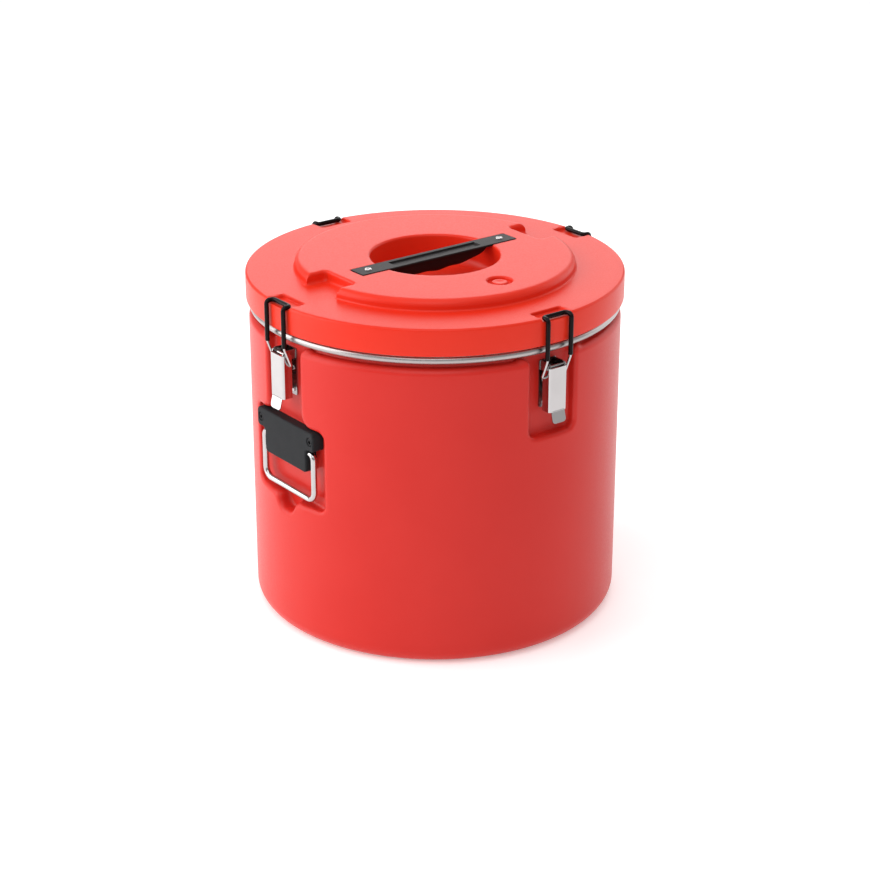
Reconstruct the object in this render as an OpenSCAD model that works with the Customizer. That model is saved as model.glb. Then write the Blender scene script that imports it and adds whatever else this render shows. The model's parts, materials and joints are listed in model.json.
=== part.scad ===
// Insulated food container: a foam-filled round body around a steel pot, with a lift-off lid
// that four toggle latches hold down. Millimetres, +Z up, origin at the centre of the flat base.
// The side handles lie on the X axis, and the vent lies towards -Y.

/* [Body] */
// Outer radius of the body
body_r = 217; // [208:1:240]
// Height of the body's shoulder above the ground
body_h = 361; // [345:1:420]
// Thickness of the moulded walls of body and lid
wall = 4; // [3:0.5:5]
// Rounding of the body's lower edge
base_fillet = 19; // [8:1:30]
// Rounding of the body's shoulder
shoulder_fillet = 8; // [6:0.5:9]
// Width of the step from the body's side to its neck
neck_inset = 10; // [9.5:0.5:13]
// Height of the neck above the shoulder
neck_h = 5.5; // [3:0.5:10]

/* [Pot] */
// Thickness of the foam between the body's wall and the pot
foam_t = 32; // [28:1:45]
// Thickness of the pot's sheet
pot_wall = 1; // [0.8:0.1:2]
// Height of the pot's underside above the ground
pot_floor = 36; // [15:1:60]
// Rounding at the foot of the pot, outside
pot_corner = 15; // [6:1:30]
// Diameter of the pot's rolled rim
bead_d = 9.5; // [7:0.5:12]

/* [Latch pockets] */
// Depth of the latch pockets
latch_pocket_depth = 14; // [12:0.5:16]
// Width of the latch pockets
latch_pocket_w = 64; // [56:1:76]
// Height of the latch pockets' lower edge below the shoulder
latch_pocket_drop = 93; // [86:1:110]
// Rounding of the pockets' corners
pocket_corner = 9; // [4:0.5:14]

/* [Handle pockets] */
// Depth of the handle pockets
handle_pocket_depth = 17; // [15:0.5:20]
// Width of the handle pockets
handle_pocket_w = 130; // [126:1:150]
// Height of the handle pockets
handle_pocket_h = 98; // [94:1:115]
// How far a handle pocket overlaps the latch pocket above it
pocket_overlap = 2; // [1:0.5:6]
// Radius of the finger scoop under the handle
scoop_r = 16; // [12:1:20]

/* [Lid] */
// How far the lid stands out past the body
lid_overhang = 3; // [1:0.5:5]
// Gap between the rolled rim and the lid's lower edge
lid_gap = 1.5; // [1:0.1:3]
// Height of the lid's outer ring
ring_h = 31.5; // [26:0.5:45]
// Rounding of the ring's outer edge
ring_fillet = 3; // [2:0.5:14]
// Radius of the raised plateau
plateau_r = 163; // [150:0.2:175]
// Height of the plateau above the ring
plateau_h = 13; // [9:0.5:20]
// Rounding of the plateau's upper edge
plateau_fillet = 8; // [4.5:0.5:9]
// Rounding at the plateau's foot
foot_fillet = 2.5; // [2:0.5:8]
// Radius of the well under the strap
well_r = 75.4; // [70:0.2:84]
// Depth of the well
well_depth = 35; // [28:1:55]
// Rounding at the well's floor
well_corner = 10; // [4:1:16]
// Rounding of the well's mouth
mouth_fillet = 3; // [1:0.5:5]
// Width of the two notches in the plateau's edge
grip_notch_w = 58; // [40:1:80]
// Depth of those notches, inward from the plateau's edge
grip_notch_depth = 29; // [12:0.2:32]
// Width of the notches for the latch loops
loop_notch_w = 42; // [41:1:56]
// Depth of the loop notches, inward from the lid's edge
loop_notch_depth = 23; // [16:0.5:30]
// Depth of the loop notches below the ring's top
loop_notch_drop = 4.5; // [3:0.5:8]

/* [Lid underside] */
// Radial gap between the lid's plug and the pot
plug_gap = 2; // [1:0.5:5]
// Depth of the plug below the lid's lower edge
plug_depth = 32; // [20:1:60]
// Rounding of the plug's lower edge
plug_fillet = 8; // [5:1:14]
// Thickness of the pan's rim
pan_t = 6; // [5:0.5:9]
// Width of the gasket
gasket_w = 6; // [4:0.5:7]
// Distance of the gasket's middle inside the middle of the rolled rim
gasket_inset = 1; // [0.5:0.5:3]
// Depth of the gasket's groove in the pan
gasket_groove = 3; // [2:0.5:4]

/* [Vent] */
// Distance of the vent from the lid's axis
vent_offset = 119; // [108:1:130]
// Diameter of the vent's recess
vent_recess_d = 28.5; // [24:0.5:34]
// Depth of the vent's recess
vent_recess_depth = 5; // [3:0.5:8]
// Diameter of the plug's head
vent_head_d = 18; // [14:0.5:22]
// Height of the plug's head
vent_head_h = 3.6; // [2:0.2:7]
// Diameter of the plug's stem
vent_stem_d = 8; // [6:0.5:10]
// Length of the plug's stem
vent_stem_len = 14; // [12:1:30]
// Radial slack round the stem in the vent's tube
vent_slack = 0.5; // [0.3:0.1:1.5]
// Wall of the vent's tube through the foam
vent_bush_wall = 2.5; // [1.5:0.5:4]

/* [Strap] */
// Length of the strap
strap_len = 224; // [212:1:240]
// Width of the strap
strap_w = 26; // [22:1:34]
// Thickness of the strap
strap_t = 2.6; // [2.4:0.2:4]
// Cut of the strap's corners
strap_corner = 1.6; // [1:0.2:6]
// Depth of the lid's seats for the strap's ends
strap_seat = 2; // [1:0.2:2.4]
// Length of the finger grip
grip_len = 136; // [110:1:138]
// Width of the finger grip
grip_w = 22; // [16:1:22]
// How far the grip hangs below the strap
grip_drop = 17; // [8:1:22]
// Number of finger waves along the grip
grip_waves = 4; // [2:1:6]
// Height of the finger waves
grip_wave_h = 1.6; // [0:0.2:3]
// Length of the slot in the grip's top
slot_len = 124; // [60:2:128]
// Width of that slot
slot_w = 13; // [6:1:16]
// Depth of that slot
slot_depth = 2; // [1:0.5:4]
// Distance between the strap's screws
strap_screw_pitch = 191; // [182:1:198]
// Diameter of the strap screws' heads
strap_head_d = 8.6; // [7:0.2:11]
// Diameter of the strap screws' shanks
strap_shank_d = 4; // [3:0.5:5]
// Length of the threaded inserts
insert_len = 12; // [8:1:16]
// Outer diameter of the threaded inserts
insert_d = 10; // [8:0.5:14]

/* [Latches] */
// Distance of the lever's pin inside the body's side
axle_inset = 0.5; // [0.5:0.5:3]
// Distance of the lever's pin below the shoulder
axle_drop = 12; // [10:0.5:20]
// Diameter of the lever's pin
axle_d = 4; // [3:0.2:5]
// How far the lever's front stands out past the body
lever_proud = 6.5; // [5:0.5:8]
// Width of the lever
lever_w = 25; // [20:0.5:26]
// Height of the lever's upper edge above its pin
lever_rise = 0.5; // [0.5:0.5:2]
// Length of the lever's channel
lever_len = 51.5; // [46:0.5:60]
// Depth of the lever's channel
lever_depth = 12.5; // [9:0.5:13]
// Thickness of the lever's sheet
lever_sheet = 1.2; // [1:0.1:1.6]
// Gap between the ears and the lever's front
ear_gap = 0.6; // [0.4:0.1:1]
// Radius of the lever's bosses round its holes
lobe_r = 4; // [3.2:0.2:4.4]
// Width of the finger tongue
tongue_w = 19; // [12:1:21]
// Length of the finger tongue
tongue_len = 13.5; // [8:0.5:18]
// Outward tilt of the finger tongue
tongue_tilt = 14; // [0:1:25]
// Thickness of the base plate
base_sheet = 1.5; // [1:0.1:2]
// Height of the base plate's upper edge above the lever's pin
base_rise = 6; // [5:0.5:9]
// Width of the base plate
base_w = 24; // [20:0.5:28]
// Length of the base plate
base_len = 56; // [50:1:62]
// Diameter of the rivets' shanks
rivet_d = 3.2; // [2.4:0.2:4]
// Diameter of the rivets' heads
rivet_head_d = 5.6; // [5:0.2:6.4]
// Distance of the lower rivets from the base plate's lower edge
rivet_edge = 6; // [4:0.5:8]
// Distance between the rivets across the base plate
rivet_pitch_w = 11; // [8:0.5:11]
// Distance between the rivets along the base plate
rivet_pitch_h = 26; // [16:1:28]

/* [Latch loops] */
// Distance of the loop's pivot inward from the lever's pin
loop_pivot_in = 2.2; // [1:0.2:2.6]
// Distance of the loop's pivot below the lever's pin
loop_pivot_drop = 11.5; // [9:0.5:13]
// Diameter of the loop's wire
wire_d = 3; // [2.4:0.2:3.6]
// Bend radius at the ends of the loop's wire
wire_bend = 3; // [2.5:0.5:4]
// Diameter of the loop's sleeve
sleeve_d = 5.4; // [4.2:0.2:6]
// Width of the loop between the centres of its legs
loop_w = 33; // [32.5:0.5:36]
// Distance of the loop's legs outside the lid
leg_gap = 3.3; // [3.2:0.1:6]
// Bend radius of the loop's upper corners
loop_bend = 4; // [3.6:0.2:4.6]
// Distance of the loop's bar inside the lid's edge
bar_inset = 6; // [6:0.5:8]
// Gap between the loop's bar and the lid
bar_gap = 0.8; // [0.6:0.1:1.5]
// Height of the loop's knee below the shoulder
knee_drop = 1; // [0:0.5:6]

/* [Side handles] */
// Thickness of the handle bracket
bracket_t = 15; // [13:0.5:18]
// Width of the bracket across its wings
bracket_w = 112; // [108:0.5:120]
// Height of the bracket's wings
wing_h = 23; // [18:0.5:26]
// Width of the bracket's middle block
block_w = 82; // [70:1:84]
// Height of the bracket's middle block
block_h = 52; // [46:1:58]
// Rounding of the bracket's corners
bracket_corner = 5; // [2:0.5:8]
// Gap between the bracket and the top of its pocket
bracket_gap = 2; // [1:0.5:4]
// Diameter of the drop handle's rod
rod_d = 7; // [6:0.5:8]
// Width of the drop handle between the centres of its legs
handle_w = 98; // [94:1:104]
// Height of the drop handle from its pivot to the middle of its grip
handle_h = 57; // [50:1:64]
// Bend radius at the drop handle's lower corners
handle_bend = 12; // [8:1:18]
// Bend radius at the drop handle's upper corners
hook_bend = 6; // [5:0.5:6.5]
// Distance of the pivot from the back of the pocket
pivot_out = 9.3; // [8:0.1:10]
// Distance of the pivot below the bracket's wings
pivot_drop = 6; // [5:0.5:8]
// Length of the rod's ends inside the block
pivot_len = 11; // [8:1:16]
// Distance between the bracket's screws
bracket_screw_pitch = 97; // [95:1:100]
// Diameter of the bracket screws' heads
bracket_head_d = 9; // [7:0.5:11]
// Diameter of the bracket screws' shanks
bracket_shank_d = 5; // [4:0.5:6]
// Depth of the bracket screws' counterbores
bracket_counterbore = 3; // [2:0.5:5]

/* [Fits] */
// Gap around pieces that are packed inside others
fit = 0.3; // [0.2:0.1:0.6]
// Radial clearance of running and clearance holes
run_fit = 0.05; // [0.02:0.01:0.1]
// Gap under pieces that rest on another body
rest_gap = 0.2; // [0.1:0.1:0.4]

/* [Hidden] */
$fn = 64;

// Small overlap that lets one cut run past a face
cut = 1;
// Reach that takes a cut clear of the whole body
far = 40;

// Sides on which a latch sits, as a name and a turn about the axis
LATCH_SIDES = [["right", 0], ["back", 90], ["left", 180], ["front", 270]];
// Sides on which a handle sits
HANDLE_SIDES = [["right", 0], ["left", 180]];

// Heights and radii of the body and the pot
rim_z = body_h + neck_h;
neck_r = body_r - neck_inset;
pot_out_r = body_r - wall - foam_t;
pot_r = pot_out_r - pot_wall;
bead_r = body_r - bead_d / 2;
bead_top = rim_z + bead_d;

// Places of the pockets
latch_back = body_r - latch_pocket_depth;
latch_pocket_z = body_h - latch_pocket_drop;
handle_back = body_r - handle_pocket_depth;
handle_pocket_top = latch_pocket_z + pocket_overlap;
handle_pocket_z = handle_pocket_top - handle_pocket_h;

// Heights and radii of the lid
lid_r = body_r + lid_overhang;
lid_z = bead_top + lid_gap;
ring_z = lid_z + ring_h;
top_z = ring_z + plateau_h;
well_z = top_z - well_depth;
loop_floor = ring_z - loop_notch_drop;
plug_r = pot_r - plug_gap;
plug_z = lid_z - plug_depth;
pan_top = lid_z + pan_t;
pan_r = lid_r - wall - fit;
gasket_mid = bead_r - gasket_inset;
vent_floor = top_z - vent_recess_depth;
vent_bore_r = vent_stem_d / 2 + run_fit;
vent_pipe_r = vent_bore_r + vent_slack;
vent_bush_r = vent_pipe_r + vent_bush_wall;

// Places of the latch pieces, as distance from the axis and height
axle_u = body_r - axle_inset;
axle_z = body_h - axle_drop;
lever_u = body_r + lever_proud;
ear_r = lever_u - lever_sheet - ear_gap - axle_u;
lever_top = axle_z + lever_rise;
lever_z = lever_top - lever_len;
ear_out = lever_w / 2 - lever_sheet - fit;
loop_u = axle_u - loop_pivot_in;
loop_z = axle_z - loop_pivot_drop;
leg_u = lid_r + leg_gap;
bar_u = lid_r - bar_inset;
bar_z = loop_floor + sleeve_d / 2 + bar_gap;
knee_z = body_h - knee_drop;
base_top = axle_z + base_rise;
rivet_mid_z = base_top - base_len + rivet_edge + rivet_pitch_h / 2;
rivet_head_h = 1.2;
axle_head_h = 1.2;
axle_head_d = axle_d + 2;
// Rounding of the base plate's corners and of the tongue's corners
plate_corner = 2;
tongue_corner = 4;
// Length by which the ends of the loop's wire reach into the lever's holes
wire_bite = lever_sheet - 0.1;
// Lap of pieces of one body that are joined end to end
lap = 0.5;

// Places of the handle pieces
bracket_top = handle_pocket_top - bracket_gap;
bracket_front = handle_back + bracket_t;
wing_z = bracket_top - wing_h;
pivot_z = wing_z - pivot_drop;
pivot_u = handle_back + pivot_out;
grip_rod_z = pivot_z - handle_h;
bracket_screw_z = bracket_top - wing_h / 2;
bracket_head_h = 2.4;
// Depth of the bracket screws' sockets
socket_depth = 1.4;
// Heights and roundings of the small heads
strap_head_h = 1.6;
strap_head_fillet = 1.2;
vent_head_fillet = 1.2;
rivet_fillet = 0.8;
edge_fillet = 1;
// Flatness of the grip's bulge: a smaller power is flatter
bulge_power = 0.35;
// Depth of the grown plateau notches, as a share of the margin
notch_share = 1.05;

// Rod of radius r from point a to point b
module rod(a, b, r) {
    d = b - a;
    translate(a) rotate([0, acos(d[2] / norm(d)), atan2(d[1], d[0])]) cylinder(r = r, h = norm(d));
}

// Quarter bend of a rod of radius r, from the x axis to the y axis
module elbow(bend, r) {
    rotate_extrude(angle = 90) translate([bend, 0]) circle(r);
}

// Corner of a square of side f outside its rounding, centred on the rounding
module corner_waste(f) {
    difference() {
        square(f + cut);
        circle(f);
    }
}

// Half section of a disc from z0 to z1 with rounded lower and upper edges
module disc_section(r, z0, z1, low, high) {
    difference() {
        translate([0, z0]) square([r, z1 - z0]);
        if (high > 0) translate([r - high, z1 - high]) corner_waste(high);
        if (low > 0) translate([r - low, z0 + low]) mirror([0, 1]) corner_waste(low);
    }
}

// Plate with rounded corners, from u0 to u1 along x, w wide along y, from z0 to z1
module rounded_plate(u0, u1, w, z0, z1, f) {
    translate([u0, -w / 2 + f, z0]) cube([u1 - u0, w - 2 * f, z1 - z0]);
    translate([u0, -w / 2, z0 + f]) cube([u1 - u0, w, z1 - z0 - 2 * f]);
    for (y = [-w / 2 + f, w / 2 - f], z = [z0 + f, z1 - f])
        translate([u0, y, z]) rotate([0, 90, 0]) cylinder(r = f, h = u1 - u0);
}

// Space of the latch pockets and handle pockets, grown by a margin on every side
module pockets(grow) {
    for (s = LATCH_SIDES)
        rotate([0, 0, s[1]])
            rounded_plate(latch_back - grow, body_r + far, latch_pocket_w + 2 * grow,
                          latch_pocket_z - grow, rim_z + far, pocket_corner + grow);
    for (s = HANDLE_SIDES)
        rotate([0, 0, s[1]]) {
            rounded_plate(handle_back - grow, body_r + far, handle_pocket_w + 2 * grow,
                          handle_pocket_z - grow, handle_pocket_top + grow, pocket_corner + grow);
            translate([handle_back - grow, 0, handle_pocket_z]) rotate([0, 90, 0])
                cylinder(r = scoop_r + grow, h = far + handle_pocket_depth + grow);
        }
}

// Positions of the rivets on one latch base, across and up
function rivet_spots() = [
    for (y = [-1, 1], z = [-1, 1]) [y * rivet_pitch_w / 2, rivet_mid_z + z * rivet_pitch_h / 2]
];

module outer_shell() {
    color("#d9322b") difference() {
        rotate_extrude() union() {
            disc_section(body_r, 0, body_h, base_fillet, shoulder_fillet);
            translate([0, body_h / 2]) square([neck_r, rim_z - body_h / 2]);
        }
        pockets(0);
        difference() {
            rotate_extrude()
                disc_section(body_r - wall, wall, body_h - wall, base_fillet - wall, shoulder_fillet - wall);
            pockets(wall);
        }
        translate([0, 0, body_h - wall - cut]) cylinder(r = pot_out_r + fit, h = far);
        for (s = LATCH_SIDES, p = rivet_spots())
            rotate([0, 0, s[1]]) translate([latch_back - wall - cut, p[0], p[1]]) rotate([0, 90, 0])
                cylinder(d = rivet_d + 2 * run_fit, h = wall + 2 * cut);
        for (s = HANDLE_SIDES, y = [-1, 1])
            rotate([0, 0, s[1]])
                translate([handle_back - wall - cut, y * bracket_screw_pitch / 2, bracket_screw_z])
                    rotate([0, 90, 0]) cylinder(d = bracket_shank_d + 2 * run_fit, h = wall + 2 * cut);
    }
}

module insulation_foam() {
    inset = wall + fit;
    color("#f1e7c4") difference() {
        rotate_extrude()
            disc_section(body_r - inset, inset, body_h - inset, base_fillet - wall, shoulder_fillet - wall);
        pockets(inset);
        translate([0, 0, pot_floor - fit]) cylinder(r = pot_out_r + fit, h = body_h);
    }
}

module inner_pot() {
    color("#c9ccd0") rotate_extrude() difference() {
        union() {
            disc_section(pot_out_r, pot_floor, rim_z + pot_wall, pot_corner, 0);
            translate([0, rim_z]) square([bead_r, pot_wall]);
            translate([bead_r, rim_z + bead_d / 2]) circle(d = bead_d);
        }
        disc_section(pot_r, pot_floor + pot_wall, rim_z + far, pot_corner - pot_wall, 0);
    }
}

// Half section of the lid's outside, or of its cavity when set in by a margin
module lid_section(inset) {
    difference() {
        union() {
            disc_section(lid_r - inset, lid_z - (inset > 0 ? cut : 0), ring_z - inset, 0, ring_fillet - inset);
            disc_section(plateau_r - inset, lid_z + cut, top_z - inset, 0, plateau_fillet);
            if (inset == 0) difference() {
                translate([plateau_r, ring_z - cut]) square([foot_fillet, foot_fillet + cut]);
                translate([plateau_r + foot_fillet, ring_z + foot_fillet]) circle(foot_fillet);
            }
        }
        disc_section_up(well_r + inset, well_z - inset, well_corner + inset);
        if (inset == 0) translate([well_r + mouth_fillet, top_z - mouth_fillet]) mirror([1, 0])
            corner_waste(mouth_fillet);
    }
}

// Half section of the well, with a rounded floor and an open top
module disc_section_up(r, z0, low) {
    disc_section(r, z0, top_z + far, low, 0);
}

// Space of the notches in the lid, grown by a margin that is a little deeper under the plateau's
// notches, so that their floor never lies in the same plane as the ring's underside
module lid_notches(grow) {
    for (s = HANDLE_SIDES)
        rotate([0, 0, s[1]])
            translate([plateau_r - grip_notch_depth - grow, -grip_notch_w / 2 - grow, ring_z - notch_share * grow])
                cube([grip_notch_depth + foot_fillet + grow, grip_notch_w + 2 * grow, far]);
    for (s = LATCH_SIDES)
        rotate([0, 0, s[1]])
            translate([lid_r - loop_notch_depth - grow, -loop_notch_w / 2 - grow, loop_floor - grow])
                cube([far, loop_notch_w + 2 * grow, far]);
}

module lid_shell() {
    color("#e8402f") difference() {
        rotate_extrude() lid_section(0);
        lid_notches(0);
        translate([0, -vent_offset, vent_floor]) cylinder(d = vent_recess_d, h = far);
        difference() {
            rotate_extrude() lid_section(wall);
            lid_notches(wall);
            translate([0, -vent_offset, vent_floor - wall]) cylinder(d = vent_recess_d + 2 * wall, h = far);
        }
        translate([0, -vent_offset, vent_floor - wall - cut]) cylinder(r = vent_bore_r, h = far);
        for (x = [-1, 1])
            translate([x * strap_screw_pitch / 2, 0, top_z - wall - cut])
                cylinder(d = strap_shank_d + 2 * run_fit, h = wall + 2 * cut);
        translate([-strap_len / 2 - fit, -strap_w / 2 - fit, top_z - strap_seat])
            cube([strap_len + 2 * fit, strap_w + 2 * fit, far]);
    }
}

module lid_foam() {
    inset = wall + fit;
    color("#f1e7c4") difference() {
        rotate_extrude() difference() {
            union() {
                difference() {
                    lid_section(inset);
                    square([lid_r, pan_top + fit]);
                }
                disc_section(plug_r - inset, plug_z + inset, pan_top + fit + lap, plug_fillet - wall, 0);
            }
            disc_section_up(well_r + inset, well_z - inset, well_corner + inset);
        }
        lid_notches(inset);
        translate([0, -vent_offset, vent_floor - inset]) cylinder(d = vent_recess_d + 2 * inset, h = far);
        translate([0, -vent_offset, plug_z]) cylinder(r = vent_bush_r + fit, h = top_z - plug_z);
        for (x = [-1, 1])
            translate([x * strap_screw_pitch / 2, 0, top_z - inset - insert_len - fit])
                cylinder(d = insert_d + 2 * fit, h = insert_len + far);
    }
}

module lid_pan() {
    groove = gasket_w + 2 * run_fit;
    color("#e8402f") difference() {
        rotate_extrude() difference() {
            union() {
                translate([0, lid_z]) square([pan_r, pan_t]);
                disc_section(plug_r, plug_z, pan_top, plug_fillet, 0);
            }
            disc_section(plug_r - wall, plug_z + wall, top_z, plug_fillet - wall, 0);
            translate([gasket_mid - groove / 2, lid_z - cut]) square([groove, gasket_groove + cut]);
        }
        translate([0, -vent_offset, plug_z - cut]) cylinder(r = vent_pipe_r, h = wall + 2 * cut);
    }
}

module lid_gasket() {
    low = bead_top + rest_gap;
    color("#e9e6de") rotate_extrude()
        translate([gasket_mid - gasket_w / 2, low]) square([gasket_w, lid_z + gasket_groove - low]);
}

module vent_bush() {
    low = plug_z + wall;
    color("#d8d6d0") translate([0, -vent_offset, low]) difference() {
        cylinder(r = vent_bush_r, h = vent_floor - wall - low);
        translate([0, 0, -cut]) cylinder(r = vent_pipe_r, h = top_z);
    }
}

module vent_plug() {
    head_z = vent_floor + rest_gap;
    color("#e8402f") translate([0, -vent_offset, 0]) rotate_extrude() union() {
        disc_section(vent_head_d / 2, head_z, head_z + vent_head_h, 0, vent_head_fillet);
        disc_section(vent_stem_d / 2, head_z - vent_stem_len, head_z + cut, edge_fillet, 0);
    }
}

// Lower edge of the grip at share t along it: a flat bulge with finger waves, thin at both ends
function grip_low(t) = -grip_drop * pow(sin(180 * t), bulge_power)
    + grip_wave_h * (1 - cos(360 * grip_waves * t)) / 2 * sin(180 * t);

module strap() {
    half = strap_len / 2;
    side = strap_w / 2;
    tip = side - strap_corner;
    steps = 48;
    color("#2b2b2d") translate([0, 0, top_z - strap_seat]) difference() {
        union() {
            linear_extrude(strap_t) polygon([
                [half, -tip], [half, tip], [half - strap_corner, side], [-half + strap_corner, side],
                [-half, tip], [-half, -tip], [-half + strap_corner, -side], [half - strap_corner, -side]
            ]);
            translate([0, grip_w / 2, 0]) rotate([90, 0, 0]) linear_extrude(grip_w)
                polygon(concat(
                    [[grip_len / 2, cut], [-grip_len / 2, cut]],
                    [for (i = [0 : steps]) [grip_len * (i / steps - 0.5), grip_low(i / steps)]]
                ));
        }
        translate([-slot_len / 2, -slot_w / 2, strap_t - slot_depth]) cube([slot_len, slot_w, far]);
        for (x = [-1, 1])
            translate([x * strap_screw_pitch / 2, 0, -cut])
                cylinder(d = strap_shank_d + 2 * run_fit, h = strap_t + 2 * cut);
    }
}

module strap_screws() {
    shank = strap_t - strap_seat + wall + insert_len - 2 * cut;
    color("#d5d7da") for (x = [-1, 1])
        translate([x * strap_screw_pitch / 2, 0, top_z - strap_seat + strap_t]) rotate_extrude() union() {
            disc_section(strap_head_d / 2, 0, strap_head_h, 0, strap_head_fillet);
            translate([0, -shank]) square([strap_shank_d / 2, shank + cut]);
        }
}

module strap_inserts() {
    color("#b8973e") for (x = [-1, 1])
        translate([x * strap_screw_pitch / 2, 0, top_z - wall - insert_len]) difference() {
            cylinder(d = insert_d, h = insert_len);
            translate([0, 0, cut]) cylinder(d = strap_shank_d + 2 * run_fit, h = insert_len);
        }
}

module latch_base() {
    color("#bfc3c8") difference() {
        union() {
            rounded_plate(latch_back, latch_back + base_sheet, base_w, base_top - base_len, base_top, plate_corner);
            for (y = [-ear_out, ear_out - base_sheet]) {
                translate([latch_back, y, axle_z - ear_r]) cube([axle_u - latch_back, base_sheet, 2 * ear_r]);
                translate([axle_u, y, axle_z]) rotate([-90, 0, 0]) cylinder(r = ear_r, h = base_sheet);
            }
        }
        translate([axle_u, -lever_w, axle_z]) rotate([-90, 0, 0])
            cylinder(d = axle_d + 2 * run_fit, h = 2 * lever_w);
        for (p = rivet_spots())
            translate([latch_back - cut, p[0], p[1]]) rotate([0, 90, 0])
                cylinder(d = rivet_d + 2 * run_fit, h = base_sheet + 2 * cut);
    }
}

module latch_axle() {
    head_y = lever_w / 2 + rest_gap;
    color("#d5d7da") translate([axle_u, 0, axle_z]) rotate([-90, 0, 0]) {
        translate([0, 0, -head_y]) cylinder(d = axle_d, h = 2 * head_y);
        for (z = [-head_y - axle_head_h, head_y])
            translate([0, 0, z]) cylinder(d = axle_head_d, h = axle_head_h);
    }
}

module latch_rivets() {
    color("#d5d7da") for (s = LATCH_SIDES, p = rivet_spots())
        rotate([0, 0, s[1]]) translate([latch_back + base_sheet, p[0], p[1]]) rotate([0, 90, 0])
            rotate_extrude() union() {
                disc_section(rivet_head_d / 2, 0, rivet_head_h, 0, rivet_fillet);
                translate([0, -base_sheet - wall]) square([rivet_d / 2, base_sheet + wall + lap]);
            }
}

module lever() {
    color("#d5d7da") difference() {
        union() {
            translate([lever_u - lever_sheet, -lever_w / 2, lever_z]) cube([lever_sheet, lever_w, lever_len]);
            for (y = [-lever_w / 2, lever_w / 2 - lever_sheet]) {
                translate([lever_u - lever_depth, y, lever_z]) cube([lever_depth, lever_sheet, lever_len]);
                translate([axle_u, y, axle_z]) rotate([-90, 0, 0]) cylinder(r = lobe_r, h = lever_sheet);
                translate([loop_u, y, loop_z]) rotate([-90, 0, 0]) cylinder(r = lobe_r, h = lever_sheet);
            }
            translate([lever_u, 0, lever_z]) rotate([0, -tongue_tilt, 0]) tongue();
        }
        translate([axle_u, -lever_w, axle_z]) rotate([-90, 0, 0])
            cylinder(d = axle_d + 2 * run_fit, h = 2 * lever_w);
        translate([loop_u, -lever_w, loop_z]) rotate([-90, 0, 0])
            cylinder(d = wire_d + 2 * run_fit, h = 2 * lever_w);
    }
}

// Finger tongue that hangs from the origin, with rounded lower corners
module tongue() {
    translate([-lever_sheet, 0, 0]) intersection() {
        rounded_plate(0, lever_sheet, tongue_w, -tongue_len, tongue_len, tongue_corner);
        translate([0, -tongue_w, -tongue_len]) cube([lever_sheet, 2 * tongue_w, tongue_len + lap]);
    }
}

// Hooked upper part of a latch loop above height low, as a rod of radius r along its centre line
module loop_hook(r, low) {
    half = loop_w / 2;
    for (y = [0, 1]) mirror([0, y, 0]) {
        rod([leg_u, half, low], [leg_u, half, bar_z - loop_bend], r);
        translate([leg_u - loop_bend, half, bar_z - loop_bend]) rotate([90, 0, 0]) elbow(loop_bend, r);
        rod([bar_u + loop_bend, half, bar_z], [leg_u - loop_bend, half, bar_z], r);
        translate([bar_u + loop_bend, half - loop_bend, bar_z]) rotate([0, 0, 90]) elbow(loop_bend, r);
    }
    rod([bar_u, loop_bend - half, bar_z], [bar_u, half - loop_bend, bar_z], r);
}

module bail_wire() {
    r = wire_d / 2;
    pin_end = lever_w / 2 - wire_bite;
    slope = atan2(leg_u - loop_u, knee_z - loop_z);
    slope_len = norm([leg_u - loop_u, knee_z - loop_z]);
    color("#d5d7da") {
        loop_hook(r, knee_z - lap);
        translate([loop_u, 0, loop_z]) rotate([0, slope, 0]) for (y = [0, 1]) mirror([0, y, 0]) {
            rod([0, loop_w / 2, wire_bend], [0, loop_w / 2, slope_len + lap], r);
            rod([0, pin_end, 0], [0, loop_w / 2 - wire_bend, 0], r);
            translate([0, loop_w / 2 - wire_bend, wire_bend]) rotate([90, 0, 90]) rotate([0, 0, 270])
                elbow(wire_bend, r);
        }
    }
}

module bail_sleeve() {
    color("#1c1a1b") difference() {
        loop_hook(sleeve_d / 2, knee_z);
        loop_hook(wire_d / 2 + run_fit, knee_z - cut);
    }
}

module handle_bracket() {
    color("#2b2b2d") difference() {
        union() {
            rounded_plate(handle_back, bracket_front, bracket_w, wing_z, bracket_top, bracket_corner);
            rounded_plate(handle_back, bracket_front, block_w, bracket_top - block_h, bracket_top, bracket_corner);
        }
        for (y = [-1, 1]) {
            translate([pivot_u, y * block_w / 2, pivot_z]) rotate([y * 90, 0, 0])
                translate([0, 0, -cut]) cylinder(d = rod_d + 2 * run_fit, h = pivot_len + 2 * cut);
            translate([handle_back - cut, y * bracket_screw_pitch / 2, bracket_screw_z]) rotate([0, 90, 0]) {
                cylinder(d = bracket_shank_d + 2 * run_fit, h = bracket_t + 2 * cut);
                translate([0, 0, cut + bracket_t - bracket_counterbore])
                    cylinder(d = bracket_head_d + 2 * fit, h = bracket_counterbore + cut);
            }
        }
    }
}

module handle_screws() {
    shank = bracket_t - bracket_counterbore + wall;
    color("#232325") for (s = HANDLE_SIDES, y = [-1, 1])
        rotate([0, 0, s[1]])
            translate([bracket_front - bracket_counterbore, y * bracket_screw_pitch / 2, bracket_screw_z])
                rotate([0, 90, 0]) difference() {
                    rotate_extrude() union() {
                        disc_section(bracket_head_d / 2, 0, bracket_head_h, 0, edge_fillet);
                        translate([0, -shank]) square([bracket_shank_d / 2, shank + lap]);
                    }
                    translate([0, 0, bracket_head_h - socket_depth]) cylinder(d = bracket_head_d / 2, h = far, $fn = 6);
                }
}

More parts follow.
